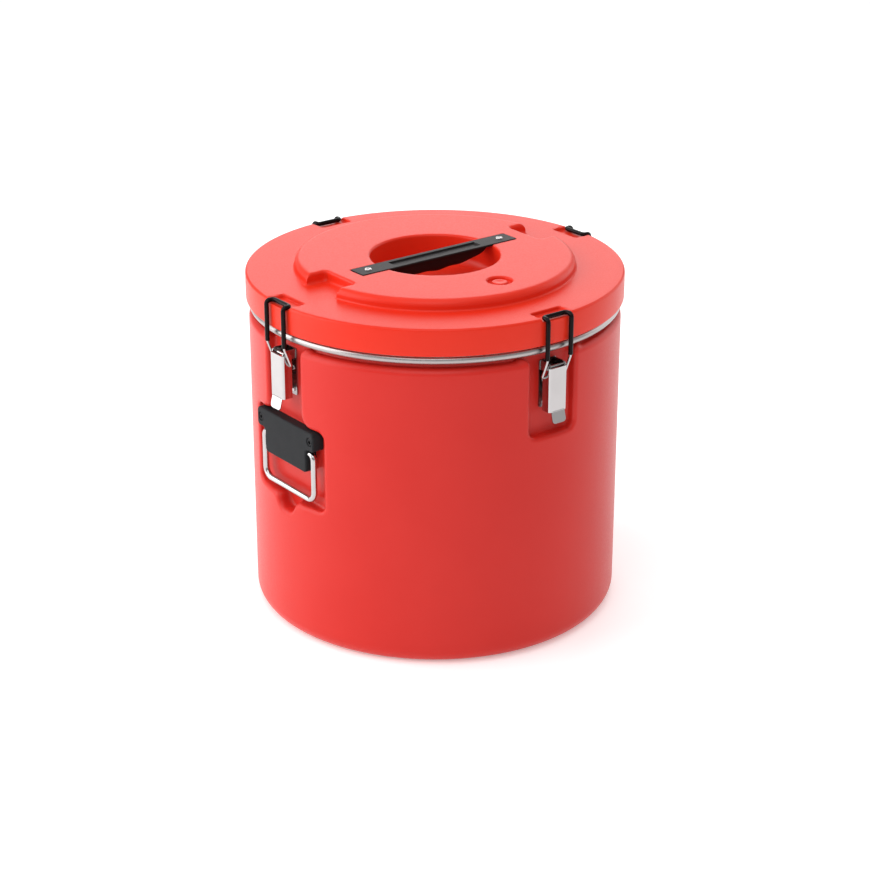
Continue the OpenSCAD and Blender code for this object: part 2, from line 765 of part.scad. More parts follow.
module handle_bail() {
    r = rod_d / 2;
    half = handle_w / 2;
    color("#d5d7da") translate([pivot_u, 0, 0]) rotate([90, 0, 90]) {
        rod([-half + handle_bend, grip_rod_z, 0], [half - handle_bend, grip_rod_z, 0], r);
        for (y = [0, 1]) mirror([y, 0, 0]) {
            rod([half, grip_rod_z + handle_bend, 0], [half, pivot_z - hook_bend, 0], r);
            rod([block_w / 2 - pivot_len, pivot_z, 0], [half - hook_bend, pivot_z, 0], r);
            translate([half - handle_bend, grip_rod_z + handle_bend, 0]) rotate([0, 0, 270])
                elbow(handle_bend, r);
            translate([half - hook_bend, pivot_z - hook_bend, 0]) elbow(hook_bend, r);
        }
    }
}

outer_shell();
insulation_foam();
inner_pot();
lid_shell();
lid_foam();
lid_pan();
lid_gasket();
vent_bush();
vent_plug();
strap();
strap_screws();
strap_inserts();
latch_rivets();
handle_screws();
for (s = LATCH_SIDES) rotate([0, 0, s[1]]) {
    latch_base();
    latch_axle();
    lever();
    bail_wire();
    bail_sleeve();
}
for (s = HANDLE_SIDES) rotate([0, 0, s[1]]) {
    handle_bracket();
    handle_bail();
}
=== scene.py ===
# %% [markdown]
# # An insulated food container
# The object is a round container of red moulded plastic with foam in its walls and a steel pot inside.
# A lift-off lid seals on the pot's rolled rim, and four toggle latches pull it down.
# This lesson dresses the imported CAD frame: each piece that shows gets a finer surface with rounded
# edges, and every piece gets a finish made of nodes. The frame itself is never moved.

# %% Load the frame
import json

import bmesh
import bpy
import numpy as np
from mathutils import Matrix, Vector


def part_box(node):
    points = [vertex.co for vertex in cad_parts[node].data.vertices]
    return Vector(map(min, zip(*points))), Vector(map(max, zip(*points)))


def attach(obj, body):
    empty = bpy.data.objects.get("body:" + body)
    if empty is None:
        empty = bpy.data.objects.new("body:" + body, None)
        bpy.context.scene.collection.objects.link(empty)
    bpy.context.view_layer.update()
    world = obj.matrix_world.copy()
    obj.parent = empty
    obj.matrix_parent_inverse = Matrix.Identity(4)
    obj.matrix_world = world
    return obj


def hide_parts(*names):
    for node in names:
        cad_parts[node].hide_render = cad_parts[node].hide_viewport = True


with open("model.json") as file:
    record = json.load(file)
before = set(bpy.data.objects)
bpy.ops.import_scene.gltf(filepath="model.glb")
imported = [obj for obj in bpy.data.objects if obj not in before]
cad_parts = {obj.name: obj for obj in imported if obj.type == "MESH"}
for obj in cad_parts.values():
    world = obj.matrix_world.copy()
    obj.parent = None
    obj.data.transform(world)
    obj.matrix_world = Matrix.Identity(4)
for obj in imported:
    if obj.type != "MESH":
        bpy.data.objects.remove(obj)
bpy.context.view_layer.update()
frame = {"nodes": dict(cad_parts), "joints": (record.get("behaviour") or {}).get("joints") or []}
MM = 0.001

# %% [markdown]
# ## Sizes that come from the frame
# A dressed piece has to lie exactly where its solid lies. So the main sizes are read from the boxes of
# the solids and from the joints' axes, in millimetres, and only what these don't tell is named below.

# %% Read the main sizes
LATCH_SIDES = {"right": 0, "back": 90, "left": 180, "front": 270}
HANDLE_SIDES = {"right": 0, "left": 180}


def box_mm(node):
    """Lowest and highest corner of a solid, in millimetres."""
    low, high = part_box(node)
    return np.array(low) / MM, np.array(high) / MM


def axis_mm(joint):
    """Distance from the container's axis and height of a joint's axis, in millimetres."""
    place = next(j for j in frame["joints"] if j["name"] == joint)["pos_m"]
    return float(np.hypot(place[0], place[1])) / MM, place[2] / MM


_, shell_high = box_mm("outer_shell")
pot_low, pot_high = box_mm("inner_pot")
lid_low, lid_high = box_mm("lid_shell")
BODY_R, RIM_Z = shell_high[0], shell_high[2]
LID_R, LID_Z, TOP_Z = lid_high[0], lid_low[2], lid_high[2]
WALL = 4.0
print(f"body radius {BODY_R:.1f}, lid radius {LID_R:.1f}, top at {TOP_Z:.1f} mm")

# %% [markdown]
# ## From a grid of points to a mesh
# Every new piece here is a surface: points on a grid of rows and columns, joined by quads. One function
# turns such grids into a mesh, merges the points that meet at seams and poles, turns the faces outwards
# and puts the piece on its body. It counts open edges, so a hole in a surface shows up in the printout.

# %% Grids to a mesh
def grid_quads(rows, columns, wrap):
    """Quads between neighbouring rows and columns; wrap names the directions that close on themselves."""
    index = np.arange(rows * columns).reshape(rows, columns)
    if "rows" in wrap:
        index = np.vstack([index, index[:1]])
    if "columns" in wrap:
        index = np.hstack([index, index[:, :1]])
    corners = [index[:-1, :-1], index[:-1, 1:], index[1:, 1:], index[1:, :-1]]
    return np.stack(corners, axis=-1).reshape(-1, 4)


def fill_mesh(mesh, grids):
    """Puts grids of points, in millimetres, into a mesh as quads in one block each."""
    starts = np.cumsum([0] + [points.shape[0] * points.shape[1] for points, _ in grids])
    places = np.concatenate([points.reshape(-1, 3) for points, _ in grids]) * MM
    quads = np.concatenate([
        grid_quads(*points.shape[:2], wrap) + start for (points, wrap), start in zip(grids, starts)
    ])
    mesh.vertices.add(len(places))
    mesh.vertices.foreach_set("co", places.astype(np.float32).ravel())
    mesh.loops.add(quads.size)
    mesh.loops.foreach_set("vertex_index", quads.astype(np.int32).ravel())
    mesh.polygons.add(len(quads))
    mesh.polygons.foreach_set("loop_start", np.arange(0, quads.size, 4, dtype=np.int32))
    mesh.update(calc_edges=True)


# %% A mesh to a piece
CREASE_ANGLE = np.radians(38)
MERGE_DISTANCE = 2e-6


def add_piece(name, grids, body, finish, replaced):
    """Makes one closed piece from grids, smooth except at creases, and lets it ride on a body in place
    of the solids that it replaces."""
    mesh = bpy.data.meshes.new(name)
    fill_mesh(mesh, grids)
    work = bmesh.new()
    work.from_mesh(mesh)
    bmesh.ops.remove_doubles(work, verts=work.verts, dist=MERGE_DISTANCE)
    bmesh.ops.recalc_face_normals(work, faces=work.faces)
    open_edges = sum(1 for edge in work.edges if not edge.is_manifold)
    volume = work.calc_volume(signed=True) / MM**3
    work.to_mesh(mesh)
    work.free()
    mesh.shade_smooth()
    mesh.set_sharp_from_angle(angle=CREASE_ANGLE)
    mesh.materials.append(finish)
    piece = bpy.data.objects.new(name, mesh)
    bpy.context.scene.collection.objects.link(piece)
    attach(piece, body)
    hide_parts(*replaced)
    print(f"{name}: {len(mesh.polygons)} faces, {volume / 1000:.1f} cm3, {open_edges} open edges")


def turned(points, degrees):
    """Points given as distance out, distance across and height, turned about the container's axis."""
    angle = np.radians(degrees)
    out, across, height = np.moveaxis(points, -1, 0)
    x = out * np.cos(angle) - across * np.sin(angle)
    y = out * np.sin(angle) + across * np.cos(angle)
    return np.stack([x, y, height], axis=-1)


# %% [markdown]
# ## Lines, arcs and spacing
# Most sections are arcs, lines and rows of given places, so three helpers give their points. Detail isn't
# even: a wall of a pocket needs close rows and a plain side needs few. The fourth helper sets places far
# apart and closes them up near the spots that need it. The last one carries a section round an axis.

# %% Section helpers
TRIAL_PLACES = 6001


def arc(centre, radius, start, end, count):
    """Points of a circle's arc about centre, from angle start to angle end in degrees."""
    angle = np.radians(np.linspace(start, end, count))
    return np.column_stack([centre[0] + radius * np.cos(angle), centre[1] + radius * np.sin(angle)])


def line(start, end, count=2):
    """Points evenly along a straight line."""
    return np.linspace(start, end, count)


def row(radius, height):
    """Section points from radii and heights, one of which is a single number."""
    return np.column_stack(np.broadcast_arrays(radius, height))


def graded(low, high, step, fine, spots, reach):
    """Places from low to high that are step apart, and close up to fine within reach of each spot. The
    gap opens again over three times that reach; places stand at even counts of gaps."""
    places = np.linspace(low, high, TRIAL_PLACES)
    near = np.abs(places[:, None] - np.asarray(spots)[None, :]).min(axis=1)
    gap = fine + (step - fine) * np.clip((near - reach) / (3 * reach), 0, 1)
    count = np.concatenate([[0], np.cumsum(np.diff(places) / (gap[1:] + gap[:-1]) * 2)])
    return np.interp(np.linspace(0, count[-1], int(np.ceil(count[-1])) + 1), count, places)


def revolved(section, columns, centre=(0, 0)):
    """Carries a section of (radius, height) points round a vertical axis."""
    angle = np.linspace(0, 2 * np.pi, columns, endpoint=False)
    radius, height = section[:, :1], section[:, 1:]
    return np.stack([
        centre[0] + radius * np.cos(angle),
        centre[1] + radius * np.sin(angle),
        np.broadcast_to(height, (len(section), columns)),
    ], axis=-1)


# %% [markdown]
# ## Colours and nodes
# Colours are written as sRGB hex values, as a designer would note them, and Blender's shaders want
# linear light, so one function converts them. One more function adds a node with its settings and
# links. A pattern's scale is one over its real size, because object coordinates here are metres.

# %% Material helpers
def linear(code):
    """Linear RGBA of an sRGB hex colour: the sRGB curve undone for each channel."""
    srgb = np.array([int(code[i:i + 2], 16) for i in (1, 3, 5)]) / 255
    light = np.where(srgb <= 0.04045, srgb / 12.92, ((srgb + 0.055) / 1.055) ** 2.4)
    return (*light.tolist(), 1.0)


def add_node(tree, kind, sockets=None, **settings):
    """Adds a node; sockets maps a socket's name or number to a value or to another node's output."""
    made = tree.nodes.new(kind)
    for key, value in settings.items():
        setattr(made, key, value)
    for key, value in (sockets or {}).items():
        if isinstance(value, bpy.types.NodeSocket):
            tree.links.new(value, made.inputs[key])
        else:
            made.inputs[key].default_value = value
    return made


def per_mm(size):
    """Scale of a pattern whose features are that many millimetres across."""
    return 1 / (size * MM)


# %% [markdown]
# ## One recipe for all finishes
# No moulded or polished surface is quite even. So each finish drifts between two close tones over wide
# patches, and a fine grain changes its roughness and its relief a little. A painted picture could do the
# same, but noise has no seams and no edge, and it fits a piece of any size.

# %% A finish from nodes
NOISE_LOW, NOISE_HIGH = 0.3, 0.7


def surface(name, dark, light, patch, rough, grain, relief, stretch=(1, 1, 1), **shader):
    """A finish of two tones over patches, with a grain that stretch draws out. patch, grain and the
    grain's relief are in millimetres, and rough is the range of roughness, laid over the range in which
    most of the noise lies. Further values go to the shader's own sockets."""
    material = bpy.data.materials.new(name)
    material.use_nodes = True
    tree = material.node_tree
    principled = tree.nodes["Principled BSDF"]
    place = add_node(tree, "ShaderNodeTexCoord").outputs["Object"]
    lay = add_node(tree, "ShaderNodeMapping", {"Vector": place, "Scale": stretch}).outputs["Vector"]
    drift = add_node(tree, "ShaderNodeTexNoise", {
        "Vector": place, "Scale": per_mm(patch), "Detail": 4.0}).outputs["Fac"]
    tone = add_node(tree, "ShaderNodeMix", {0: drift, 6: linear(dark), 7: linear(light)}, data_type="RGBA")
    fine = add_node(tree, "ShaderNodeTexNoise", {
        "Vector": lay, "Scale": per_mm(grain), "Detail": 3.0}).outputs["Fac"]
    gloss = add_node(tree, "ShaderNodeMapRange", {
        "Value": fine, "From Min": NOISE_LOW, "From Max": NOISE_HIGH, "To Min": rough[0], "To Max": rough[1]})
    bump = add_node(tree, "ShaderNodeBump", {"Height": fine, "Distance": relief * MM, "Strength": 1.0})
    tree.links.new(tone.outputs[2], principled.inputs["Base Color"])
    tree.links.new(gloss.outputs["Result"], principled.inputs["Roughness"])
    tree.links.new(bump.outputs["Normal"], principled.inputs["Normal"])
    for key, value in shader.items():
        principled.inputs[key.replace("_", " ").title().replace("Ior", "IOR")].default_value = value
    return material


# %% [markdown]
# ## The plastics
# Body and lid are rotationally moulded polyethylene: powder melts against a hot mould. The loops' sleeves
# are soft vinyl, dipped on, and the strap is soft vinyl from a mould. The brackets are polypropylene from
# a mould with a spark-eroded grain.

# %% Plastics
# The mould's satin skin gives broad, soft highlights; a faint orange peel and slow drifts in tone break them.
red_skin = dict(patch=90, rough=(0.30, 0.40), grain=1.8, relief=0.02, ior=1.51)
moulded_red = surface(
    "rotomoulded_polyethylene_red", "#c4221a", "#cc2a22", specular_ior_level=0.24, **red_skin)
lid_red = surface(
    "rotomoulded_polyethylene_orange_red", "#da2812", "#e2301a", specular_ior_level=0.21, **red_skin)
# A dipped skin flows smooth: nearly black, with small sharp glints.
dipped_vinyl = surface(
    "dipped_black_vinyl", "#0d0506", "#140a0b", patch=8, rough=(0.10, 0.18), grain=1.2, relief=0.01,
    ior=1.53, specular_ior_level=0.1)
# The grain scatters all light, so this black looks dark grey and has no highlight.
grained_black = surface(
    "grained_black_polypropylene", "#1d1e20", "#27282a", patch=14, rough=(0.48, 0.62), grain=0.7, relief=0.03,
    ior=1.49, specular_ior_level=0.1)
# Soft vinyl from a mould is dull, and pales only where light grazes it.
strap_vinyl = surface(
    "moulded_soft_vinyl_black", "#161112", "#201a1a", patch=12, rough=(0.36, 0.5), grain=0.8, relief=0.03,
    ior=1.53, specular_ior_level=0.12)

# %% [markdown]
# ## The metals
# Latches, handles and pot are stainless steel: sheet that is pressed and polished on a wheel, wire that is
# drawn through a die, and a deep drawn cup. A polish leaves lines much finer than the picture shows, so
# they are drawn as coarse as they need to be to show, and stretched upright where the wheel ran upright.

# %% Metals
UPRIGHT = (1, 1, 0.05)
# A wheel's polish mirrors its surroundings and smears them upright.
polished_steel = surface(
    "polished_stainless_steel", "#b7b3b3", "#c5c1c1", patch=30, rough=(0.10, 0.20), grain=0.8, relief=0.002,
    stretch=UPRIGHT, metallic=1.0)
# The die leaves wire brighter still: it shows as thin lines of light and dark.
drawn_wire = surface(
    "bright_drawn_steel_wire", "#b3b0b0", "#c2bfbf", patch=12, rough=(0.08, 0.16), grain=0.6, relief=0.002,
    metallic=1.0)
# Deep drawing dulls the sheet: the pot is satin, so its inside glows softly.
pot_steel = surface(
    "deep_drawn_stainless_steel", "#a39d9c", "#b1abaa", patch=60, rough=(0.26, 0.36), grain=1.0, relief=0.002,
    stretch=UPRIGHT, metallic=1.0)
# Plain pressed sheet whose colour is darker than the polished levers': painted shade for the shadowed inside
# of the lever's channel.
pressed_steel_painted_shade = surface(
    "pressed_stainless_sheet_painted_shade", "#8f8a8a", "#9d9898", patch=8, rough=(0.12, 0.2), grain=0.5, relief=0.002,
    metallic=1.0)
# Blackening leaves a dark metal with dull glints.
black_screw = surface(
    "blackened_steel_screw", "#1b1b1d", "#29292b", patch=4, rough=(0.35, 0.5), grain=0.5, relief=0.005,
    metallic=1.0)
# Turned brass is yellow, and the tool's marks blur its shine.
turned_brass = surface(
    "turned_brass", "#a88434", "#bd9a48", patch=6, rough=(0.22, 0.34), grain=0.4, relief=0.004, metallic=1.0)

# %% [markdown]
# ## What is hidden inside
# The seal is moulded silicone, the vent's tube natural nylon, and poured polyurethane foam fills body and
# lid. They show only when the lid is off or the part is cut, but each still gets its own look.

# %% Hidden pieces
# Milky and matt.
seal_rubber = surface(
    "moulded_silicone_rubber", "#dedbd2", "#ebe8e0", patch=20, rough=(0.5, 0.62), grain=1.0, relief=0.01,
    ior=1.43)
# Ivory, with a waxy gloss.
bush_nylon = surface(
    "natural_nylon", "#cfccc2", "#dedbd2", patch=10, rough=(0.42, 0.55), grain=0.8, relief=0.01, ior=1.53)
# Pale yellow and quite matt, pitted by bubbles.
rigid_foam = surface(
    "rigid_polyurethane_foam", "#e2d5a6", "#f3eac8", patch=6, rough=(0.85, 0.95), grain=1.5, relief=0.3,
    ior=1.45)
print("finishes:", ", ".join(m.name for m in bpy.data.materials if m.users == 0))

# %% [markdown]
# ## Pressing pockets into a surface
# A pocket in a moulded wall has a rounded lip, a wall and a rounded foot. The grid isn't cut for that:
# its points are moved. A signed distance to the pocket's outline says where a point is, and a table walks
# the section of the pocket's edge at even speed while that distance falls. The point slides along the
# distance's slope to its new place and sinks by a share of the depth.

# %% Distances
def rounded_box(a, b, half_a, half_b, corner):
    """Signed distance to a rectangle with rounded corners about the origin, negative inside."""
    out_a = np.abs(a) - half_a + corner
    out_b = np.abs(b) - half_b + corner
    outside = np.hypot(np.maximum(out_a, 0), np.maximum(out_b, 0))
    return outside + np.minimum(np.maximum(out_a, out_b), 0) - corner


def smooth_least(a, b, blend):
    """The lesser of two distances, with a fillet of about that blend where they meet."""
    meet = np.maximum(blend - np.abs(a - b), 0) / blend
    return np.minimum(a, b) - meet * meet * blend / 4


def soft_step(value, width):
    """Rises smoothly from nought to one as value goes from minus width to width."""
    t = np.clip(value / (2 * width) + 0.5, 0, 1)
    return t * t * (3 - 2 * t)


# %% Rolled edges
SLOPE_STEP = 0.01


def rolled_edge(depth, lip, foot, reach):
    """Table of signed distance, new distance and share of the depth across a pocket's edge.
    Its section is a line, a quarter circle of radius lip, a wall, a quarter circle of radius foot, a line."""
    angle = np.radians(np.linspace(0, 90, 9))
    over = np.column_stack([lip - lip * np.sin(angle), lip - lip * np.cos(angle)])
    under = np.column_stack([foot * np.cos(angle) - foot, depth - foot + foot * np.sin(angle)])
    walk = np.vstack([[reach, 0], over, under, [-reach, depth]])
    run = np.concatenate([[0], np.cumsum(np.hypot(*np.diff(walk, axis=0).T))])
    distance = reach - 2 * reach * run / run[-1]
    return distance[::-1], walk[::-1, 0], walk[::-1, 1] / depth


def pressed(distance_at, across, along, table):
    """Slides to apply across and along, and the share of the depth, for a pocket's distance function.
    The slope of the distance is a central difference, made one long."""
    distance = distance_at(across, along)
    slope_a = distance_at(across + SLOPE_STEP, along) - distance_at(across - SLOPE_STEP, along)
    slope_b = distance_at(across, along + SLOPE_STEP) - distance_at(across, along - SLOPE_STEP)
    steep = np.maximum(np.hypot(slope_a, slope_b), 1e-9)
    near = np.abs(distance) < table[0][-1]
    slide = np.where(near, np.interp(distance, table[0], table[1]) - distance, 0)
    return slide * slope_a / steep, slide * slope_b / steep, np.interp(distance, table[0], table[2])


# %% [markdown]
# ## The body
# The body is one hollow moulding with four latch pockets and, on two sides, a handle pocket with a finger
# scoop. A box cut by booleans would leave knife edges that no mould gives. Here the wall is a section
# carried round the axis, and the pockets are pressed into it in the unrolled plane of its side. Inside,
# the same section runs back down, with the pockets grown by the wall.

# %% Sizes of the body
NECK_H, NECK_INSET, NECK_FOOT_R, RIM_EDGE_R = 5.5, 10.0, 0.8, 1.0
SHOULDER_R, BASE_R, BORE_R = 8.0, 19.0, 181.3
LATCH_HALF, LATCH_LOW, LATCH_BACK = 32.0, 268.0, 203.0
HANDLE_HALF, HANDLE_LOW, HANDLE_TOP, HANDLE_BACK = 65.0, 172.0, 270.0, 200.0
SCOOP_R, SCOOP_CORNER = 16.0, 13.6
POCKET_CORNER, POCKET_BLEND, FLARE_R = 9.0, 14.0, 7.0
RAMP_Z, RAMP_HALF = LATCH_LOW - 2.0, 6.0
ROW_GAP, TURN_STEP = 2.0, 2.2
SHOULDER_Z = RIM_Z - NECK_H
print(f"latch pockets {BODY_R - LATCH_BACK:.0f} mm deep, handle pockets {BODY_R - HANDLE_BACK:.0f} mm")


# %% Outline of the pockets
def pocket_distance(across, height, handled):
    """Distance to the pockets' outline on the unrolled side. The latch pocket flares out at the shoulder,
    and on the handle sides the handle pocket and the scoop join it with fillets."""
    rise = np.clip(height - SHOULDER_Z + FLARE_R, 0, FLARE_R)
    flare = FLARE_R - np.sqrt(FLARE_R**2 - rise**2)
    tall = SHOULDER_Z - LATCH_LOW
    latch = rounded_box(across, height - LATCH_LOW - tall, LATCH_HALF + flare, tall, POCKET_CORNER)
    middle = (HANDLE_LOW + HANDLE_TOP) / 2
    handle = rounded_box(across, height - middle, HANDLE_HALF, HANDLE_TOP - middle, POCKET_CORNER)
    scoop = rounded_box(across, height - HANDLE_LOW - SCOOP_R, SCOOP_R, 2 * SCOOP_R, SCOOP_CORNER)
    joined = smooth_least(latch, smooth_least(handle, scoop, POCKET_BLEND / 2), POCKET_BLEND)
    return np.where(handled, joined, latch)


# %% Section of the wall
def with_inset(outside, inside):
    """One section from its outside and its inside, and each point's inset: nought and the wall."""
    inset = np.concatenate([np.zeros(len(outside)), np.full(len(inside), WALL)])
    return np.vstack([outside, inside]), inset


def body_section():
    """From the middle of the base, up the outside, over the neck and down the inside."""
    low, high = BASE_R, SHOULDER_Z - SHOULDER_R
    edges = [LATCH_LOW, HANDLE_LOW, HANDLE_LOW - SCOOP_R]
    up = graded(low, high, step=14, fine=1.05, spots=edges, reach=11)[1:-1]
    down = graded(low, high, step=14, fine=4, spots=edges, reach=11)[::-1]
    neck, ceiling, flat = BODY_R - NECK_INSET, SHOULDER_Z - WALL, BODY_R - BASE_R
    return with_inset(np.vstack([
        line((0, 0), (flat - ROW_GAP, 0), 6),
        arc((flat, BASE_R), BASE_R, -90, 0, 12),
        row(BODY_R, up),
        arc((BODY_R - SHOULDER_R, high), SHOULDER_R, 0, 90, 10),
        arc((neck + NECK_FOOT_R, SHOULDER_Z + NECK_FOOT_R), NECK_FOOT_R, -90, -180, 4),
        arc((neck - RIM_EDGE_R, RIM_Z - RIM_EDGE_R), RIM_EDGE_R, 0, 90, 4),
        arc((BORE_R + RIM_EDGE_R, RIM_Z - RIM_EDGE_R), RIM_EDGE_R, 90, 180, 4),
    ]), np.vstack([
        line((BORE_R, ceiling), (BODY_R - SHOULDER_R, ceiling), 6),
        arc((BODY_R - SHOULDER_R, high), SHOULDER_R - WALL, 90, 0, 5)[1:-1],
        row(BODY_R - WALL, down),
        arc((flat, BASE_R), BASE_R - WALL, 0, -90, 6)[1:],
        line((flat - ROW_GAP, WALL), (0, WALL), 4),
    ]))


# %% Body
def both_ways(near):
    """Angles to both sides of each side's middle, from a table of the angles found near it."""
    return [side + way * at for side, found in near.items() for at in found for way in (-1, 1)]


def body_columns():
    """Angles round the body in degrees, close together at the upright edges of the pockets."""
    scoop, latch, handle = np.degrees(np.arcsin(np.array([SCOOP_R, LATCH_HALF, HANDLE_HALF]) / BODY_R))
    edges = [scoop, latch, handle]
    spots = both_ways({0: edges, 180: edges, -180: edges, 90: [latch], -90: [latch]})
    return graded(-180, 180, step=TURN_STEP, fine=0.3, spots=spots, reach=2.6)[:-1]


def body_points():
    """The section carried round the axis, with the pockets pressed in. A pocket's back is flat, so at an
    angle away from its middle it lies at the back's distance over the cosine of that angle."""
    section, inset = body_section()
    radius, height, inset, angle = np.broadcast_arrays(
        section[:, :1], section[:, 1:], inset[:, None], body_columns()[None, :])
    side = np.round(angle / 90)
    handled = side % 2 == 0
    across = BODY_R * np.sin(np.radians(angle - 90 * side))
    table = rolled_edge(BODY_R - LATCH_BACK, lip=5.0, foot=4.0, reach=12.0)
    slide_a, slide_z, share = pressed(
        lambda a, z: pocket_distance(a, z, handled) - inset, across, height, table)
    turn = np.arcsin((across + slide_a) / BODY_R)
    handle_back = HANDLE_BACK + (LATCH_BACK - HANDLE_BACK) * soft_step(height - RAMP_Z, RAMP_HALF)
    back = (np.where(handled, handle_back, LATCH_BACK) - inset) / np.cos(turn)
    radius = radius - share * np.maximum(radius - back, 0)
    turn = turn + np.radians(90 * side)
    return np.stack([radius * np.cos(turn), radius * np.sin(turn), height + slide_z], axis=-1)


add_piece(
    "moulded_body", [(body_points(), "columns")], "container", moulded_red, ["outer_shell"])

# %% [markdown]
# ## The lid
# The lid is a second moulding: a ring, a raised plateau with a well rounded edge, and a round well for the
# hand. Two notches run in from the plateau's edge, four shallow ones hold the latch loops, two seats take
# the strap's ends and a small round recess holds the vent. The same way of pressing is used, this time in
# plan. The floor's height is given instead of a depth, so a notch that runs off the edge simply ends there.

# %% Sizes of the lid
RING_Z, RING_EDGE_R = TOP_Z - 13.0, 3.0
SKIRT_EDGE_R, SKIRT_INNER_R, CAVITY_CUT = 1.2, 0.8, 1.0
PLATEAU_R, PLATEAU_EDGE_R, PLATEAU_FOOT_R = 163.0, 8.0, 2.5
WELL_R, WELL_Z, WELL_CORNER_R, WELL_MOUTH_R = 75.4, TOP_Z - 35.0, 10.0, 3.0
GRIP_NOTCH_IN, GRIP_NOTCH_HALF = 134.0, 29.0
LOOP_NOTCH_IN, LOOP_NOTCH_HALF, LOOP_NOTCH_Z = 197.0, 21.0, RING_Z - 4.5
VENT_OUT, VENT_R, VENT_Z = 119.0, 14.25, TOP_Z - 5.0
SEAT_OUT, SEAT_HALF, SEAT_Z = 112.3, 13.3, TOP_Z - 2.0
NOTCH_RUN = 50.0
print(f"plateau {TOP_Z - RING_Z:.0f} mm high, well {TOP_Z - WELL_Z:.0f} mm deep")


# %% Section of the lid
def lid_section():
    """From the middle of the well, over plateau and ring, and back inside the lid's cavity."""
    plateau = graded(WELL_R + WELL_MOUTH_R, PLATEAU_R - PLATEAU_EDGE_R, step=4, fine=0.85,
                     spots=[VENT_OUT - VENT_R, VENT_OUT, GRIP_NOTCH_IN], reach=7)
    ring = graded(
        PLATEAU_R + PLATEAU_FOOT_R, LID_R - RING_EDGE_R, step=6, fine=0.5, spots=[LOOP_NOTCH_IN], reach=4)
    plateau_mid = (PLATEAU_R - PLATEAU_EDGE_R, TOP_Z - PLATEAU_EDGE_R)
    well_mid = (WELL_R - WELL_CORNER_R, WELL_Z + WELL_CORNER_R)
    inner_r, under_ring, under_top = LID_R - WALL, RING_Z - WALL, TOP_Z - WALL
    return with_inset(np.vstack([
        line((0, WELL_Z), (well_mid[0] - ROW_GAP, WELL_Z), 5),
        arc(well_mid, WELL_CORNER_R, -90, 0, 10),
        arc((WELL_R + WELL_MOUTH_R, TOP_Z - WELL_MOUTH_R), WELL_MOUTH_R, 180, 90, 8)[:-1],
        row(plateau, TOP_Z)[:-1],
        arc(plateau_mid, PLATEAU_EDGE_R, 90, 0, 14),
        arc((PLATEAU_R + PLATEAU_FOOT_R, RING_Z + PLATEAU_FOOT_R), PLATEAU_FOOT_R, 180, 270, 7)[:-1],
        row(ring, RING_Z)[:-1],
        arc((LID_R - RING_EDGE_R, RING_Z - RING_EDGE_R), RING_EDGE_R, 90, 0, 11),
        arc((LID_R - SKIRT_EDGE_R, LID_Z + SKIRT_EDGE_R), SKIRT_EDGE_R, 0, -90, 5),
        arc((inner_r + SKIRT_INNER_R, LID_Z + SKIRT_INNER_R), SKIRT_INNER_R, -90, -180, 4),
    ]), np.vstack([
        line((inner_r, LID_Z + WALL), (inner_r, under_ring - CAVITY_CUT), 4),
        line((inner_r - CAVITY_CUT, under_ring), (PLATEAU_R - WALL + CAVITY_CUT, under_ring), 14),
        arc(plateau_mid, PLATEAU_EDGE_R - WALL, 0, 90, 6),
        line((plateau_mid[0] - ROW_GAP, under_top), (WELL_R + WALL + CAVITY_CUT, under_top), 18),
        line((WELL_R + WALL, under_top - CAVITY_CUT), (WELL_R + WALL, well_mid[1]), 3),
        arc(well_mid, WELL_CORNER_R + WALL, 0, -90, 6)[1:],
        line((well_mid[0] - ROW_GAP, WELL_Z - WALL), (0, WELL_Z - WALL), 3),
    ]))


# %% Notches of the lid
FAR = 99.0
GRIP_MID_R, SEAT_MID_R = GRIP_NOTCH_IN + 12.0, 95.0


def lid_columns():
    """Angles round the lid in degrees, close together at the notches' sides and over the vent. Each side's
    angle is taken at a radius about halfway along it."""
    loop = np.degrees(LOOP_NOTCH_HALF / (LID_R - RING_EDGE_R))
    grip = np.degrees(np.arcsin(GRIP_NOTCH_HALF / GRIP_MID_R))
    vent = np.degrees(np.arcsin(VENT_R / VENT_OUT))
    seat = np.degrees(np.arcsin(SEAT_HALF / SEAT_MID_R))
    sides = [loop, grip, seat]
    spots = both_ways({0: sides, 180: sides, -180: sides, 90: [loop], -90: [loop, vent, 0.3 * vent]})
    return graded(-180, 180, step=TURN_STEP, fine=0.36, spots=spots, reach=1.6)[:-1]


def lid_notches(side):
    """For each notch: the sides that have it, its floor, its rolled edge and its distance in plan. A notch
    that runs off the edge is a box much longer than the lid reaches."""
    handled, front, all_sides = side % 2 == 0, side == -1, np.full(side.shape, True)
    return [
        (handled, RING_Z, rolled_edge(TOP_Z - RING_Z, lip=3.0, foot=4.0, reach=8.0),
         lambda out, across: rounded_box(
             out - GRIP_NOTCH_IN - NOTCH_RUN, across, NOTCH_RUN, GRIP_NOTCH_HALF, corner=5.0)),
        (all_sides, LOOP_NOTCH_Z, rolled_edge(RING_Z - LOOP_NOTCH_Z, lip=1.4, foot=1.4, reach=3.6),
         lambda out, across: rounded_box(
             out - LOOP_NOTCH_IN - NOTCH_RUN, across, NOTCH_RUN, LOOP_NOTCH_HALF, corner=3.0)),
        (front, VENT_Z, rolled_edge(TOP_Z - VENT_Z, lip=2.0, foot=1.5, reach=5.0),
         lambda out, across: np.hypot(out - VENT_OUT, across) - VENT_R),
        (handled, SEAT_Z, rolled_edge(TOP_Z - SEAT_Z, lip=0.7, foot=0.4, reach=1.8),
         lambda out, across: rounded_box(out - SEAT_OUT / 2, across, SEAT_OUT / 2, SEAT_HALF, corner=1.6)),
    ]


